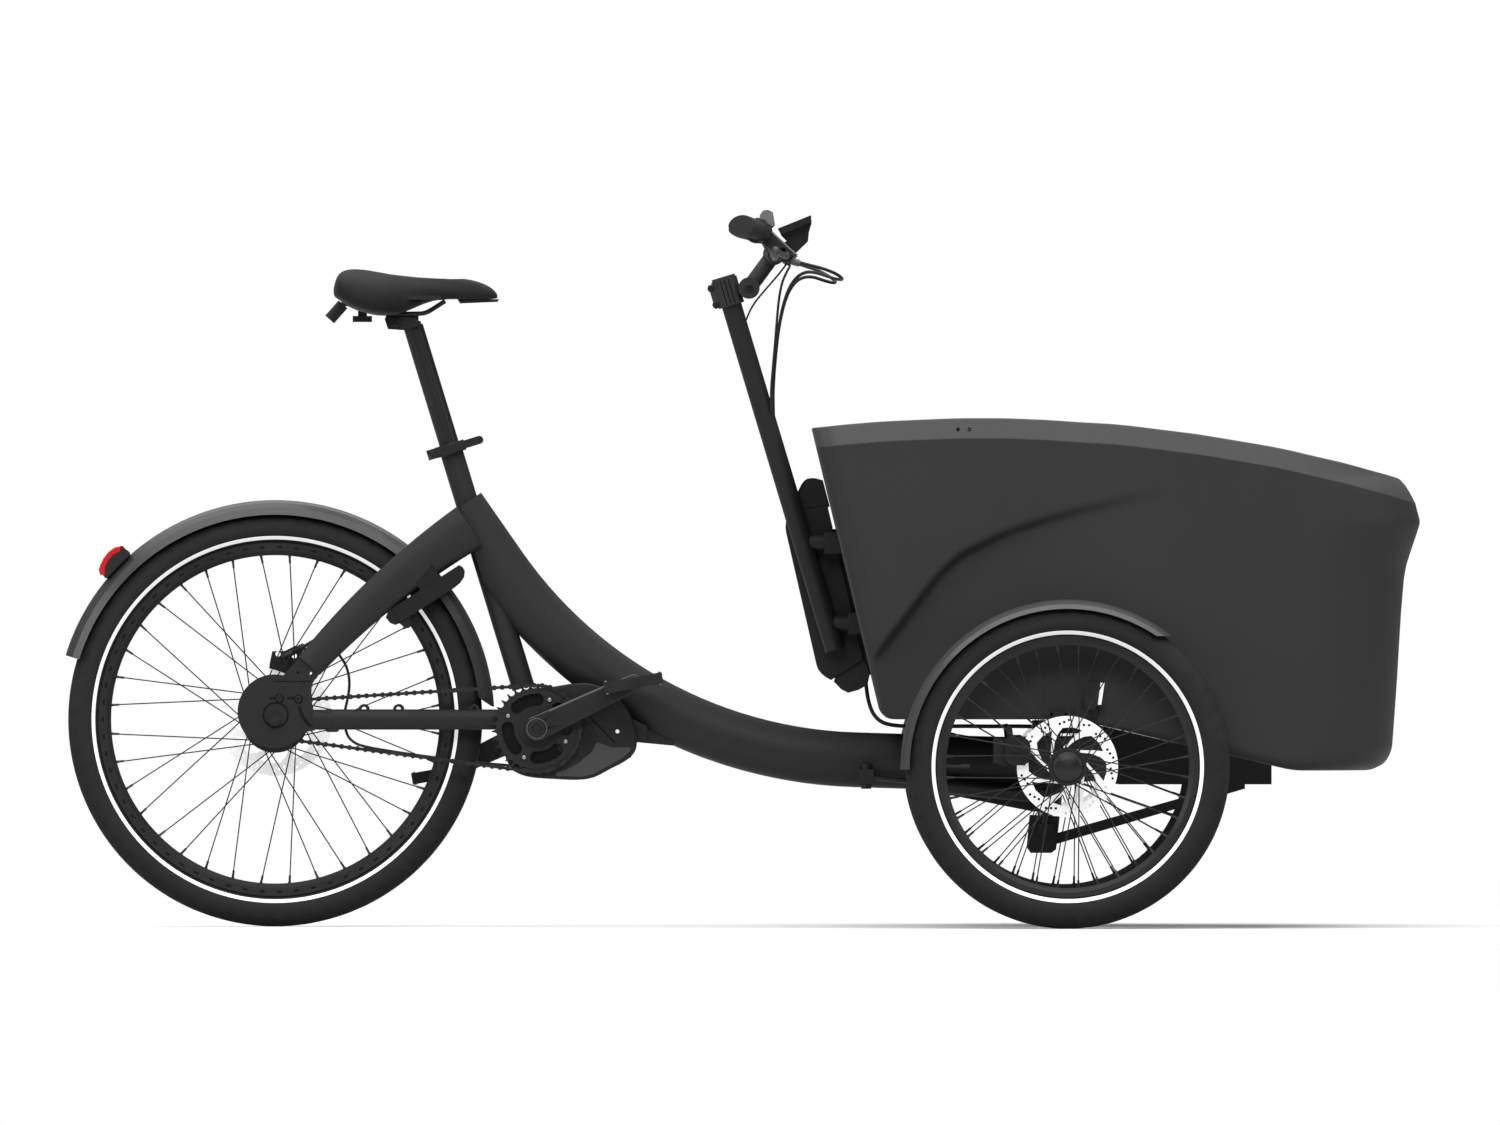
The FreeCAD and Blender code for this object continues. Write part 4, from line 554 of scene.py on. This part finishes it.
# ------------------------------------------------------------------ cargo box shell
TOP = [(111.7, 791), (150.1, 795.7), (188.2, 799), (226.4, 802), (264.5, 803.7), (302.7, 805.3), (340.9, 806.9), (417, 806.9),
       (455.2, 805.3), (493.4, 803.7), (531.5, 800.5), (569.7, 798.9), (607.8, 795.8), (646, 791), (684.2, 786.2), (722.3, 781.5),
       (760.5, 775.1), (798.6, 768.7), (836.8, 762.4), (875, 754.4), (913.1, 744.9), (951.3, 736.9), (989.4, 725.8), (1027.6, 716.3),
       (1050, 709), (1075.2, 700)]
BOT = [(100, 330.5), (522, 330.5), (560, 323), (872, 249.5), (1080, 249.5)]
FRONT = [(249.5, 1006), (259.8, 1018), (272, 1026), (285.2, 1030.7), (349, 1035.5), (400, 1039), (450.6, 1041.9), (500, 1045),
         (530, 1047.5), (555, 1049.8), (575, 1053.5), (592, 1059), (610, 1065), (626, 1070.5), (638, 1074.2), (643.5, 1075.2),
         (649, 1074), (663, 1070), (680, 1066.2), (690.7, 1063), (700, 1059.5), (709, 1053), (720, 1046), (830, 1046)]


ARCH = [(100, 286), (150, 350), (219.8, 439.5), (331, 582.6), (430, 630), (537.8, 662), (680.9, 694), (760, 705)]


def lerp_table(tab, x):
    if x <= tab[0][0]:
        return tab[0][1]
    for (x0, y0), (x1, y1) in zip(tab, tab[1:]):
        if x <= x1:
            return y0 + (y1 - y0) * (x - x0) / (x1 - x0)
    return tab[-1][1]


def smooth_table(tab, x, h):
    return sum(lerp_table(tab, x + h * k) for k in (-1, -0.5, 0, 0.5, 1)) / 5.0


def smoothstep(a, b, x):
    t = max(0.0, min(1.0, (x - a) / (b - a)))
    return t * t * (3 - 2 * t)


def plan_point(s, x0, x1, half, rr, rf):
    """Half outline from the rear middle (s = 0) round the right side to the front middle (s = 1)."""
    segs = [half - rr, math.pi / 2 * rr, (x1 - rf) - (x0 + rr), math.pi / 2 * rf, half - rf]
    tot = sum(segs)
    d = s * tot
    if d <= segs[0]:
        return x0, -d
    d -= segs[0]
    if d <= segs[1]:
        a = d / rr
        return x0 + rr - rr * math.cos(a), -(half - rr) - rr * math.sin(a)
    d -= segs[1]
    if d <= segs[2]:
        return x0 + rr + d, -half
    d -= segs[2]
    if d <= segs[3]:
        a = d / rf
        return x1 - rf + rf * math.sin(a), -half + rf - rf * math.cos(a)
    d -= segs[3]
    return x1, -(half - rf) + d


def side_samples():
    """Where along the half outline the columns stand: closer at the corners."""
    out, k = [], 0
    for a, b, n in ((0.0, 0.168, 8), (0.168, 0.205, 8), (0.205, 0.72, 150), (0.72, 0.865, 22), (0.865, 1.0, 9)):
        for i in range(n):
            out.append(a + (b - a) * i / n)
    return out + [1.0]


SAMPLES = side_samples()


def shell(thick, floor_up, rim_in, heights):
    """Rows of points from the floor's edge to the rim, for one half of the box."""
    cols = []
    for s in SAMPLES:
        col = []
        for v, lift in heights:
            z = 500.0
            x = 500.0
            for _ in range(6):
                zb = smooth_table(BOT, x, 14.0) + floor_up
                zt = smooth_table(TOP, x, 20.0)
                z = zb + (zt - zb) * v if lift is None else (zb + lift if lift >= 0 else zt + lift)
                x0 = 111.7 + (791 - z) * 0.24009 + thick
                x1 = smooth_table(FRONT, z, 3.0) - thick
                half = 345.0 - thick
                hb = z - zb
                rb = 16.0
                ins = rb - math.sqrt(max(0.0, rb * rb - (rb - min(hb, rb)) ** 2)) if hb < rb else 0.0
                ht = zt - z
                lean = rim_in * max(0.0, 1 - ht / 32.0)
                ins += lean
                x, y = plan_point(s, x0 + ins - lean, x1 - ins, half - ins, max(36.0 - thick, 14.0), 150.0 - thick)
            if abs(y) > half * 0.72:
                dep = max(0.0, (680.0 - x) * 39.0 / 620.0) * smoothstep(120.0, 285.0, x)
                over = (z - smooth_table(ARCH, x, 26.0)) / 1.55
                ease = 6.0
                k = smoothstep(ease, -ease, over) if thick < 1 else smoothstep(12.5 + ease, 12.5 - ease, over)
                lim = 345.0 - dep - (0.0 if thick < 1 else 12.5)
                if abs(y) > lim:
                    y = -(abs(y) + (lim - abs(y)) * k)
            col.append((x * MM, y * MM, z * MM))
        cols.append(col)
    return cols


OUT_H = [(0, 0.0), (0, 1.2), (0, 3.5), (0, 7.0), (0, 11.0), (0, 16.0)]
OUT_H += [(0.045 + (0.925 - 0.045) * i / 84.0, None) for i in range(85)]
OUT_H += [(1, -33.5), (1, -32.0), (1, -31.0), (1, -24.0), (1, -16.0), (1, -8.0), (1, -3.0), (1, -0.6)]
IN_H = [(0, 0.0), (0, 1.5), (0, 4.0), (0, 8.0), (0, 16.0)] + [(0.05 + 0.86 * i / 60.0, None) for i in range(61)]
IN_H += [(1, -34.0), (1, -24.0), (1, -12.0), (1, -4.0), (1, -0.6)]


def build_box():
    outer = shell(0.0, 0.0, 9.0, OUT_H)
    inner = shell(12.0, 13.2, 3.5, IN_H)
    verts, faces, idx = [], [], []

    def put(cols):
        nr = len(cols[0])
        ids = []
        for col in cols:
            ids.append([len(verts) + i for i in range(nr)])
            verts.extend(col)
        left = []
        for j, col in enumerate(cols):
            if abs(col[0][1]) < 1e-9 and (j == 0 or j == len(cols) - 1):
                left.append(ids[j])
                continue
            left.append([len(verts) + i for i in range(nr)])
            verts.extend([(x, -y, z) for x, y, z in col])
        return ids, left

    def skin(ids, left, pick, flip):
        for grid, turn in ((ids, flip), (left, not flip)):
            for j in range(len(grid) - 1):
                for i in range(len(grid[0]) - 1):
                    f = (grid[j][i], grid[j + 1][i], grid[j + 1][i + 1], grid[j][i + 1])
                    faces.append(f if not turn else f[::-1])
                    idx.append(pick(i))

    oi, ol = put(outer)
    ii, il = put(inner)
    no, ni = len(OUT_H), len(IN_H)
    # the top rows of the outer wall take the rim's painted highlight
    skin(oi, ol, lambda i: 1 if i >= no - 7 else 0, False)
    skin(ii, il, lambda i: 2, True)
    # underside and floor, ruled from side to side
    for (a, b, m, turn) in ((oi, ol, 0, True), (ii, il, 2, False)):
        for j in range(len(a) - 1):
            f = [a[j][0], a[j + 1][0], b[j + 1][0], b[j][0]]
            g = []
            for q in f:
                if q not in g:
                    g.append(q)
            if len(g) >= 3:
                faces.append(tuple(g if not turn else g[::-1]))
                idx.append(m)
    # rolled top of the rim, in the rim's painted highlight
    for a, b, turn in ((oi, ii, False), (ol, il, True)):
        crown = []
        for j in range(len(a)):
            p, q = Vector(verts[a[j][-1]]), Vector(verts[b[j][-1]])
            m = (p + q) / 2 + Vector((0, 0, 0.0006))
            crown.append(len(verts))
            verts.append(tuple(m))
        for j in range(len(a) - 1):
            for u, w in ((lambda t: a[t][-1], lambda t: crown[t]), (lambda t: crown[t], lambda t: b[t][-1])):
                f = (u(j), u(j + 1), w(j + 1), w(j))
                faces.append(f if not turn else f[::-1])
                idx.append(1)
    o = mesh_obj("cargo_box_shell", verts, faces, ["box", "rim_painted_highlight", "inside"], idx, True, "front")
    bm = bmesh.new()
    bm.from_mesh(o.data)
    bmesh.ops.remove_doubles(bm, verts=bm.verts, dist=0.00002)
    bmesh.ops.recalc_face_normals(bm, faces=bm.faces)
    bm.to_mesh(o.data)
    bm.free()
    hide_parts("cargo_box")
    return o


build_box()

# ------------------------------------------------------------------ saddle
SAD_TOP = [(-649.3, 1003.7), (-648.6, 1016), (-647.4, 1024.9), (-641.5, 1036.5), (-633.9, 1042.2), (-622.3, 1043.8), (-593.4, 1039.4),
           (-555, 1032.5), (-516.5, 1028.4), (-477.8, 1026.5), (-439.4, 1025.7), (-422.1, 1024.9), (-404.7, 1020.4),
           (-394, 1014.5), (-388, 1008.5), (-385.2, 1003.5)]
SAD_BOT = [(-649.3, 1001), (-639.6, 994), (-626.1, 983.4), (-612.6, 977.7), (-593.4, 971.9), (-574.2, 969), (-547.3, 971.9),
           (-531.9, 977.6), (-504.9, 989.2), (-485.6, 995), (-468.3, 997.2), (-449, 997.2), (-400, 997.2), (-389, 997.6), (-385.2, 999.5)]
SAD_W = [(-649.5, 50), (-645, 74), (-636, 87), (-622, 94), (-605, 96), (-585, 93), (-565, 84), (-545, 69), (-525, 54), (-505, 42.5),
         (-485, 34), (-460, 28.5), (-430, 25.5), (-410, 24.5), (-398, 22.5), (-390, 18.5), (-385.2, 12)]


def build_saddle():
    """Crowned, padded cover: rounded cross sections, then swollen as cloth under a little pressure."""
    xs = [-650.2, -648.5, -645, -641, -636, -630, -622] + [-614 + 8.5 * i for i in range(25)] + [-401, -395, -390.5, -387, -384.6]
    nseg = 40
    rings = []
    for x in xs:
        zt, zb, hw = smooth_table(SAD_TOP, x, 2.0) + 0.6, smooth_table(SAD_BOT, x, 2.0) - 0.4, smooth_table(SAD_W, x, 2.0) - 1.0
        skirt = zb + (zt - zb) * 0.26
        ring = []
        for k in range(nseg):
            a = 2 * math.pi * k / nseg
            ca, sa = math.cos(a), math.sin(a)
            ex = 0.74 if sa > 0 else 0.5
            y = hw * math.copysign(abs(ca) ** ex, ca)
            if sa >= 0:
                z = skirt + (zt - skirt) * abs(sa) ** 0.86
                groove = 2.2 * math.exp(-(y / 7.0) ** 2) * smoothstep(-625, -600, x) * (1 - smoothstep(-470, -430, x))
                z -= groove
            else:
                edge = abs(y) / max(hw, 1.0)
                z = skirt - (skirt - zb) * abs(sa) ** 0.8
                z += (4.0 if x < -480 else 1.5) * (1 - edge) * abs(sa)
            ring.append((x * MM, y * MM, z * MM))
        rings.append(ring)
    verts = [p for r in rings for p in r]
    faces = []
    for j in range(len(rings) - 1):
        for k in range(nseg):
            k2 = (k + 1) % nseg
            faces.append((j * nseg + k, j * nseg + k2, (j + 1) * nseg + k2, (j + 1) * nseg + k))
    faces.append(tuple(range(nseg))[::-1])
    faces.append(tuple((len(rings) - 1) * nseg + k for k in range(nseg)))
    o = mesh_obj("saddle_cover_look", verts, faces, ["saddle"], None, True)
    bpy.context.view_layer.objects.active = o
    o.select_set(True)
    rm = o.modifiers.new("remesh", "REMESH")
    rm.mode = "VOXEL"
    rm.voxel_size = 0.0045
    bpy.ops.object.modifier_apply(modifier="remesh")
    rest = [v.co.copy() for v in o.data.vertices]
    cl = o.modifiers.new("cloth", "CLOTH")
    st = cl.settings
    st.quality = 6
    st.mass = 0.3
    st.tension_stiffness = 30
    st.compression_stiffness = 30
    st.shear_stiffness = 12
    st.bending_stiffness = 2.0
    st.use_pressure = True
    st.uniform_pressure_force = 4.0
    st.effector_weights.gravity = 0.0
    cl.point_cache.frame_start = 1
    cl.point_cache.frame_end = 20
    for f in range(1, 21):
        scene.frame_set(f)
    dg = bpy.context.evaluated_depsgraph_get()
    ev = o.evaluated_get(dg)
    moved = [v.co.copy() for v in ev.data.vertices]
    o.modifiers.remove(cl)
    scene.frame_set(1)
    cap = 0.004
    for v, a, b in zip(o.data.vertices, rest, moved):
        d = b - a
        if d.length > cap:
            d = d.normalized() * cap
        if a.z < 0.999 and abs(a.y) < 0.06:
            d = d * 0.2
        v.co = a + d
    sm = o.modifiers.new("ease", "SMOOTH")
    sm.factor = 0.5
    sm.iterations = 4
    bpy.ops.object.modifier_apply(modifier="ease")
    sub = o.modifiers.new("fine", "SUBSURF")
    sub.levels = 1
    sub.render_levels = 1
    for p in o.data.polygons:
        p.use_smooth = True
    o.data.materials.clear()
    o.data.materials.append(M["saddle"])
    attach(o, "seat")
    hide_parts("saddle_cover")
    return o


build_saddle()

def seat_details():
    b = Bits()
    b.plate([(-0.566, 0.9660), (-0.566, 0.9750), (-0.556, 0.9775), (-0.522, 0.9775), (-0.514, 0.9735), (-0.514, 0.9640), (-0.530, 0.9655)], 0.0165, -0.0165, 0, 0.0012)
    for sg in (-1.0, 1.0):
        b.bolt((-0.5475, sg * 0.0228, 0.9585), (0, sg, 0), 0.0056, 0.0036, 1)
    return edge_split(b.build("seat_clamp_details", ["plastic", "alloy"], "seat"))


seat_details()


# ------------------------------------------------------------------ small fittings on the rear frame
def frame_details():
    b = Bits()
    for sg in (-1.0, 1.0):
        out = (0, sg, 0)
        # motor: finned drum, lower guard and the slanted slot
        yc = sg * 0.0555
        b.turned((-0.2636, yc - sg * 0.0002, 0.298), out, [(0, 0.032), (0.0016, 0.032), (0.0022, 0.0314), (0.0022, 0.012), (0.0032, 0.011), (0.0032, 0.004)], 40, 1)
        for k in range(30):
            t = math.radians(12 * k)
            e = Vector((math.cos(t), 0, math.sin(t)))
            c = Vector((-0.2636, yc + sg * 0.0019, 0.298))
            b.strip([c + e * 0.0135, c + e * 0.0305], 0.0018, out, 0.0018, 1)
        guard = [(-0.2953, 0.2390), (-0.256, 0.2380), (-0.238, 0.2415), (-0.2115, 0.2550), (-0.187, 0.2690), (-0.1755, 0.2805),
                 (-0.177, 0.2850), (-0.2063, 0.2850), (-0.2301, 0.2935), (-0.2413, 0.2805), (-0.2572, 0.2614), (-0.281, 0.2492), (-0.2953, 0.2460)]
        b.plate(guard, yc - sg * 0.0002, yc + sg * 0.0014, 3, 0.0007)
        if sg < 0:
            b.ring((BB[0], yc - sg * 0.0001, BB[2]), out, [(0, 0.0255), (0.0006, 0.0257), (0.0006, 0.0600), (0, 0.0603)], 72, 0)
        b.strip([(-0.241, yc - sg * 0.0001, 0.333), (-0.219, yc - sg * 0.0001, 0.3105), (-0.2005, yc - sg * 0.0001, 0.2916)], 0.0026, out, 0.0004, 0)
        # dropout plate: bolts, slots, nut ring
        yp = sg * 0.075
        for x, z in ((-0.734, 0.363), (-0.704, 0.3616)):
            b.bolt((x, yp - sg * 0.0002, z), out, 0.0054, 0.003, 2)
            b.ring((x, yp - sg * 0.0001, z), out, [(0, 0.0055), (0.0004, 0.0057), (0.0004, 0.0072), (0, 0.0074)], 32, 0)
        for x0, x1 in ((-0.750, -0.7405), (-0.7215, -0.7105)):
            b.strip([(x0, yp - sg * 0.0001, 0.3635), ((x0 + x1) / 2, yp - sg * 0.0001, 0.3635), (x1, yp - sg * 0.0001, 0.3635)], 0.0042, out, 0.0004, 0)
        b.ring((-0.740, yp - sg * 0.0001, 0.3366), out, [(0, 0.0176), (0.0005, 0.0179), (0.0005, 0.0209), (0, 0.0212)], 48, 0)
        b.strip([(-0.703, yp - sg * 0.0001, 0.350), (-0.6995, yp - sg * 0.0001, 0.338), (-0.693, yp - sg * 0.0001, 0.3275), (-0.6845, yp - sg * 0.0001, 0.3185)], 0.0056, out, 0.0004, 0)
        b.strip([(-0.744, yp - sg * 0.0001, 0.390), (-0.715, yp - sg * 0.0001, 0.390), (-0.6835, yp - sg * 0.0001, 0.390)], 0.0018, out, 0.0004, 0)
        for x in (-0.728, -0.700):
            b.bolt((x, yp - sg * 0.0002, 0.3806), out, 0.0034, 0.0014, 2, 16)
        # cable guides on the chain stay, and a clip below it
        for x in (-0.6006, -0.5455, -0.425):
            y = sg * (0.044 + 0.026 * (-0.378 - x) / 0.303)
            b.ring((x, y, 0.3452), (0, 1, 0), [(-0.003, 0.0044), (-0.003, 0.0078), (-0.0022, 0.0084), (0.0022, 0.0084), (0.003, 0.0078), (0.003, 0.0044)], 28, 1)
        y = sg * (0.044 + 0.026 * (0.651 - 0.378) / 0.303)
        b.turned((-0.661, y, 0.3138), (1, 0, 0), [(0, 0.003), (0.002, 0.0046), (0.018, 0.0046), (0.020, 0.003)], 18, 1)
    b.plate([(-0.182, 0.334), (-0.150, 0.318), (-0.150, 0.296), (-0.182, 0.290)], -0.024, -0.032, 4, 0.001)
    # hydraulic cylinder on the rear caliper
    c0, c1 = Vector((-0.7326, 0.0400, 0.4262)), Vector((-0.6945, 0.0450, 0.4464))
    b.turned(c0, c1 - c0, [(0, 0.0030), (0.001, 0.0056), (0.0045, 0.0060), (0.006, 0.0050), (0.033, 0.0050), (0.0345, 0.0060), (0.041, 0.0056), (0.043, 0.0030)], 20, 2)
    return edge_split(b.build("frame_details", ["groove", "plastic", "alloy", "motor_band", "frame"], "frame"))


frame_details()


def crank_details():
    b = Bits()
    for sg in (-1.0, 1.0):
        out = (0, sg, 0)
        b.turned((BB[0], sg * 0.0818, BB[2]), out, [(0, 0.0138), (0.0024, 0.0138), (0.0031, 0.0128), (0.0031, 0.0078), (0.0006, 0.0074)], 32, 0)
        # mid grey ring round each cap: a painted highlight
        b.ring((BB[0], sg * 0.0839, BB[2]), out, [(0, 0.0148), (0.0008, 0.0151), (0.0008, 0.0163), (0, 0.0166)], 48, 1)
        t = math.radians(25.4)
        d, n = Vector((math.cos(t), 0, math.sin(t))) * -sg, Vector((-math.sin(t), 0, math.cos(t)))
        o = Vector((BB[0], sg * 0.0839, BB[2]))
        # mid grey strip along each arm's top edge: a painted highlight
        b.strip([o + d * 0.030 + n * 0.0167, o + d * 0.085 + n * 0.0152, o + d * 0.138 + n * 0.0133], 0.0024, out, 0.0005, 1)
    for k in range(4):
        t = math.radians(90 * k + 66)
        b.turned((BB[0] + 0.050 * math.cos(t), -0.0649, BB[2] + 0.050 * math.sin(t)), (0, -1, 0),
                 [(0, 0.0030), (0.0006, 0.0030), (0.0010, 0.0024), (0.0010, 0.0010)], 16, 2)
    return edge_split(b.build("crank_caps_and_painted_highlights", ["alloy", "mid", "steel"], "crankset"))


crank_details()


def pedal_details(name, e, sg):
    """Grip pins on both faces and a cap over the axle's end."""
    b = Bits()
    t = math.radians(-10.0)
    ux, uz = Vector((math.cos(t), 0, -math.sin(t))), Vector((math.sin(t), 0, math.cos(t)))
    e = Vector(e)
    for a in (-0.043, 0.043):
        for y in (-0.036, -0.012, 0.012, 0.036):
            for f in (-1.0, 1.0):
                b.turned(e + ux * a + Vector((0, y, 0)) + uz * (f * 0.0088), uz * f, [(0, 0.0021), (0.0014, 0.0021), (0.0019, 0.0016), (0.0019, 0.0007)], 10, 0)
    b.turned(e + Vector((0, sg * 0.0468, 0)), (0, sg, 0), [(0, 0.0098), (0.0014, 0.0098), (0.0021, 0.0088), (0.0021, 0.0040), (0.0012, 0.0034)], 24, 1)
    return edge_split(b.build(name, ["steel", "alloy"], name[:-5]))


pedal_details("right_pedal_pins", (-0.171833, -0.139, 0.387717), -1.0)
pedal_details("left_pedal_pins", (-0.478967, 0.139, 0.241883), 1.0)


def rim_slots():
    """The row of dark slots round both sides of the rear rim."""
    b = Bits()
    w = -low_y("rear_rim")
    for sg in (-1.0, 1.0):
        for k in range(63):
            t = 2 * math.pi * (k + 0.5) / 63
            c = Vector((REAR_C[0] + 0.2740 * math.cos(t), sg * (w - 0.0001), REAR_C[2] + 0.2740 * math.sin(t)))
            d = Vector((-math.sin(t), 0, math.cos(t)))
            b.strip([c - d * 0.004, c, c + d * 0.004], 0.0036, (0, sg, 0), 0.0004, 0)
    return edge_split(b.build("rear_rim_slots", ["groove"], "rear_wheel"))


rim_slots()


def front_details():
    b = Bits()
    for sg in (-1.0, 1.0):
        for x, z in ((0.342, 0.789), (0.360, 0.789), (0.835, 0.735), (0.856, 0.732)):
            b.bolt((x, sg * 0.3404, z), (0, sg, 0.28), 0.0030, 0.0016, 0, 16)
        # pale ring round the bar clamp, a painted highlight, and the stem's pivot screw
        b.ring((0.0513, sg * 0.0209, 1.069), (0, sg, 0), [(0, 0.0116), (0.0014, 0.0116), (0.0014, 0.0132), (0, 0.0134)], 48, 1)
        b.bolt((0.0115, sg * 0.0188, 1.0149), (0, sg, 0), 0.0072, 0.0024, 2)
    # clamp screws behind the column, with their bosses
    cd = Vector((-0.28739, 0, 0.95781))
    cx = Vector((0.95781, 0, 0.28739))
    top = Vector((-0.0287, 0, 1.0294))
    for k in (-0.009, -0.036):
        c = top + cd * k - cx * 0.0235
        b.turned(c + Vector((0, -0.0150, 0)), (0, 1, 0), [(0, 0.0044), (0.0012, 0.0060), (0.0288, 0.0060), (0.030, 0.0044)], 24, 2)
    # flutes along the clamp
    for y, n in ((-0.0207, -1.0), (0.0207, 1.0)):
        for a in (-0.0065, 0.0, 0.0065):
            p = top + cx * a + Vector((0, n * math.sqrt(0.021 ** 2 - a * a) - n * 0.0004, 0))
            b.strip([p - cd * 0.042, p - cd * 0.022, p - cd * 0.002], 0.0020, (a / 0.021, n, 0), 0.0007, 0)
    # battery: lid line and handle slot on its side faces
    for y, n in ((0.0221, -1.0), (0.1059, 1.0)):
        b.strip([(0.0765, y, 0.660), (0.112, y, 0.666), (0.1375, y, 0.670)], 0.0016, (0, n, 0), 0.0004, 0)
        b.strip([(0.0985, y, 0.7060), (0.0900, y, 0.684), (0.0850, y, 0.664)], 0.0016, (0, n, 0), 0.0004, 0)
    return edge_split(b.build("front_details", ["groove", "pale", "alloy"], "front"))


front_details()

# ------------------------------------------------------------------ light, floor, backdrop
floor_me = bpy.data.meshes.new("floor")
floor_me.from_pydata([(-3.2, -3.2, 0), (3.2, -3.2, 0), (3.2, 3.2, 0), (-3.2, 3.2, 0)], [], [(0, 1, 2, 3)])
floor = bpy.data.objects.new("floor", floor_me)
scene.collection.objects.link(floor)
M["floor"] = surface("pale_floor", (0.93, 0.93, 0.93, 1), (0.96, 0.96, 0.96, 1), (0.8, 0.9), 60.0, 0.02, 0.0002, 2.0, spec=0.1)
floor_me.materials.append(M["floor"])
floor.visible_diffuse = False

# white backdrop for the eye, a dimmer sky for the light on the object
world = bpy.data.worlds.new("studio")
world.use_nodes = True
scene.world = world
wn = world.node_tree
bg = wn.nodes["Background"]
bg.inputs["Color"].default_value = (1.0, 1.0, 1.0, 1.0)
bg.inputs["Strength"].default_value = 0.17
bg2 = wn.nodes.new("ShaderNodeBackground")
bg2.inputs["Color"].default_value = (1.0, 1.0, 1.0, 1.0)
bg2.inputs["Strength"].default_value = 1.0
lp = wn.nodes.new("ShaderNodeLightPath")
mix = wn.nodes.new("ShaderNodeMixShader")
wn.links.new(lp.outputs["Is Camera Ray"], mix.inputs[0])
wn.links.new(bg.outputs[0], mix.inputs[1])
wn.links.new(bg2.outputs[0], mix.inputs[2])
wn.links.new(mix.outputs[0], wn.nodes["World Output"].inputs["Surface"])


def area(name, loc, target, size, power):
    d = bpy.data.lights.new(name, "AREA")
    d.shape = "RECTANGLE"
    d.size, d.size_y = size
    d.energy = power
    o = bpy.data.objects.new(name, d)
    o.location = loc
    o.rotation_euler = (Vector(target) - Vector(loc)).to_track_quat("-Z", "Y").to_euler()
    scene.collection.objects.link(o)
    return o


area("top_soft", (0.0, 0.0, 5.0), (0.0, 0.0, 0.0), (9.0, 9.0), 540.0)
area("front_soft", (0.0, -7.6, 5.0), (0.0, 0.0, 0.5), (6.5, 2.6), 300.0)
area("rear_fill", (-5.2, -2.2, 2.2), (-0.7, 0.0, 0.5), (1.6, 2.6), 55.0)
area("box_fill", (5.2, -2.2, 2.2), (0.9, 0.0, 0.5), (1.6, 2.6), 40.0)
scene.view_settings.view_transform = "Standard"
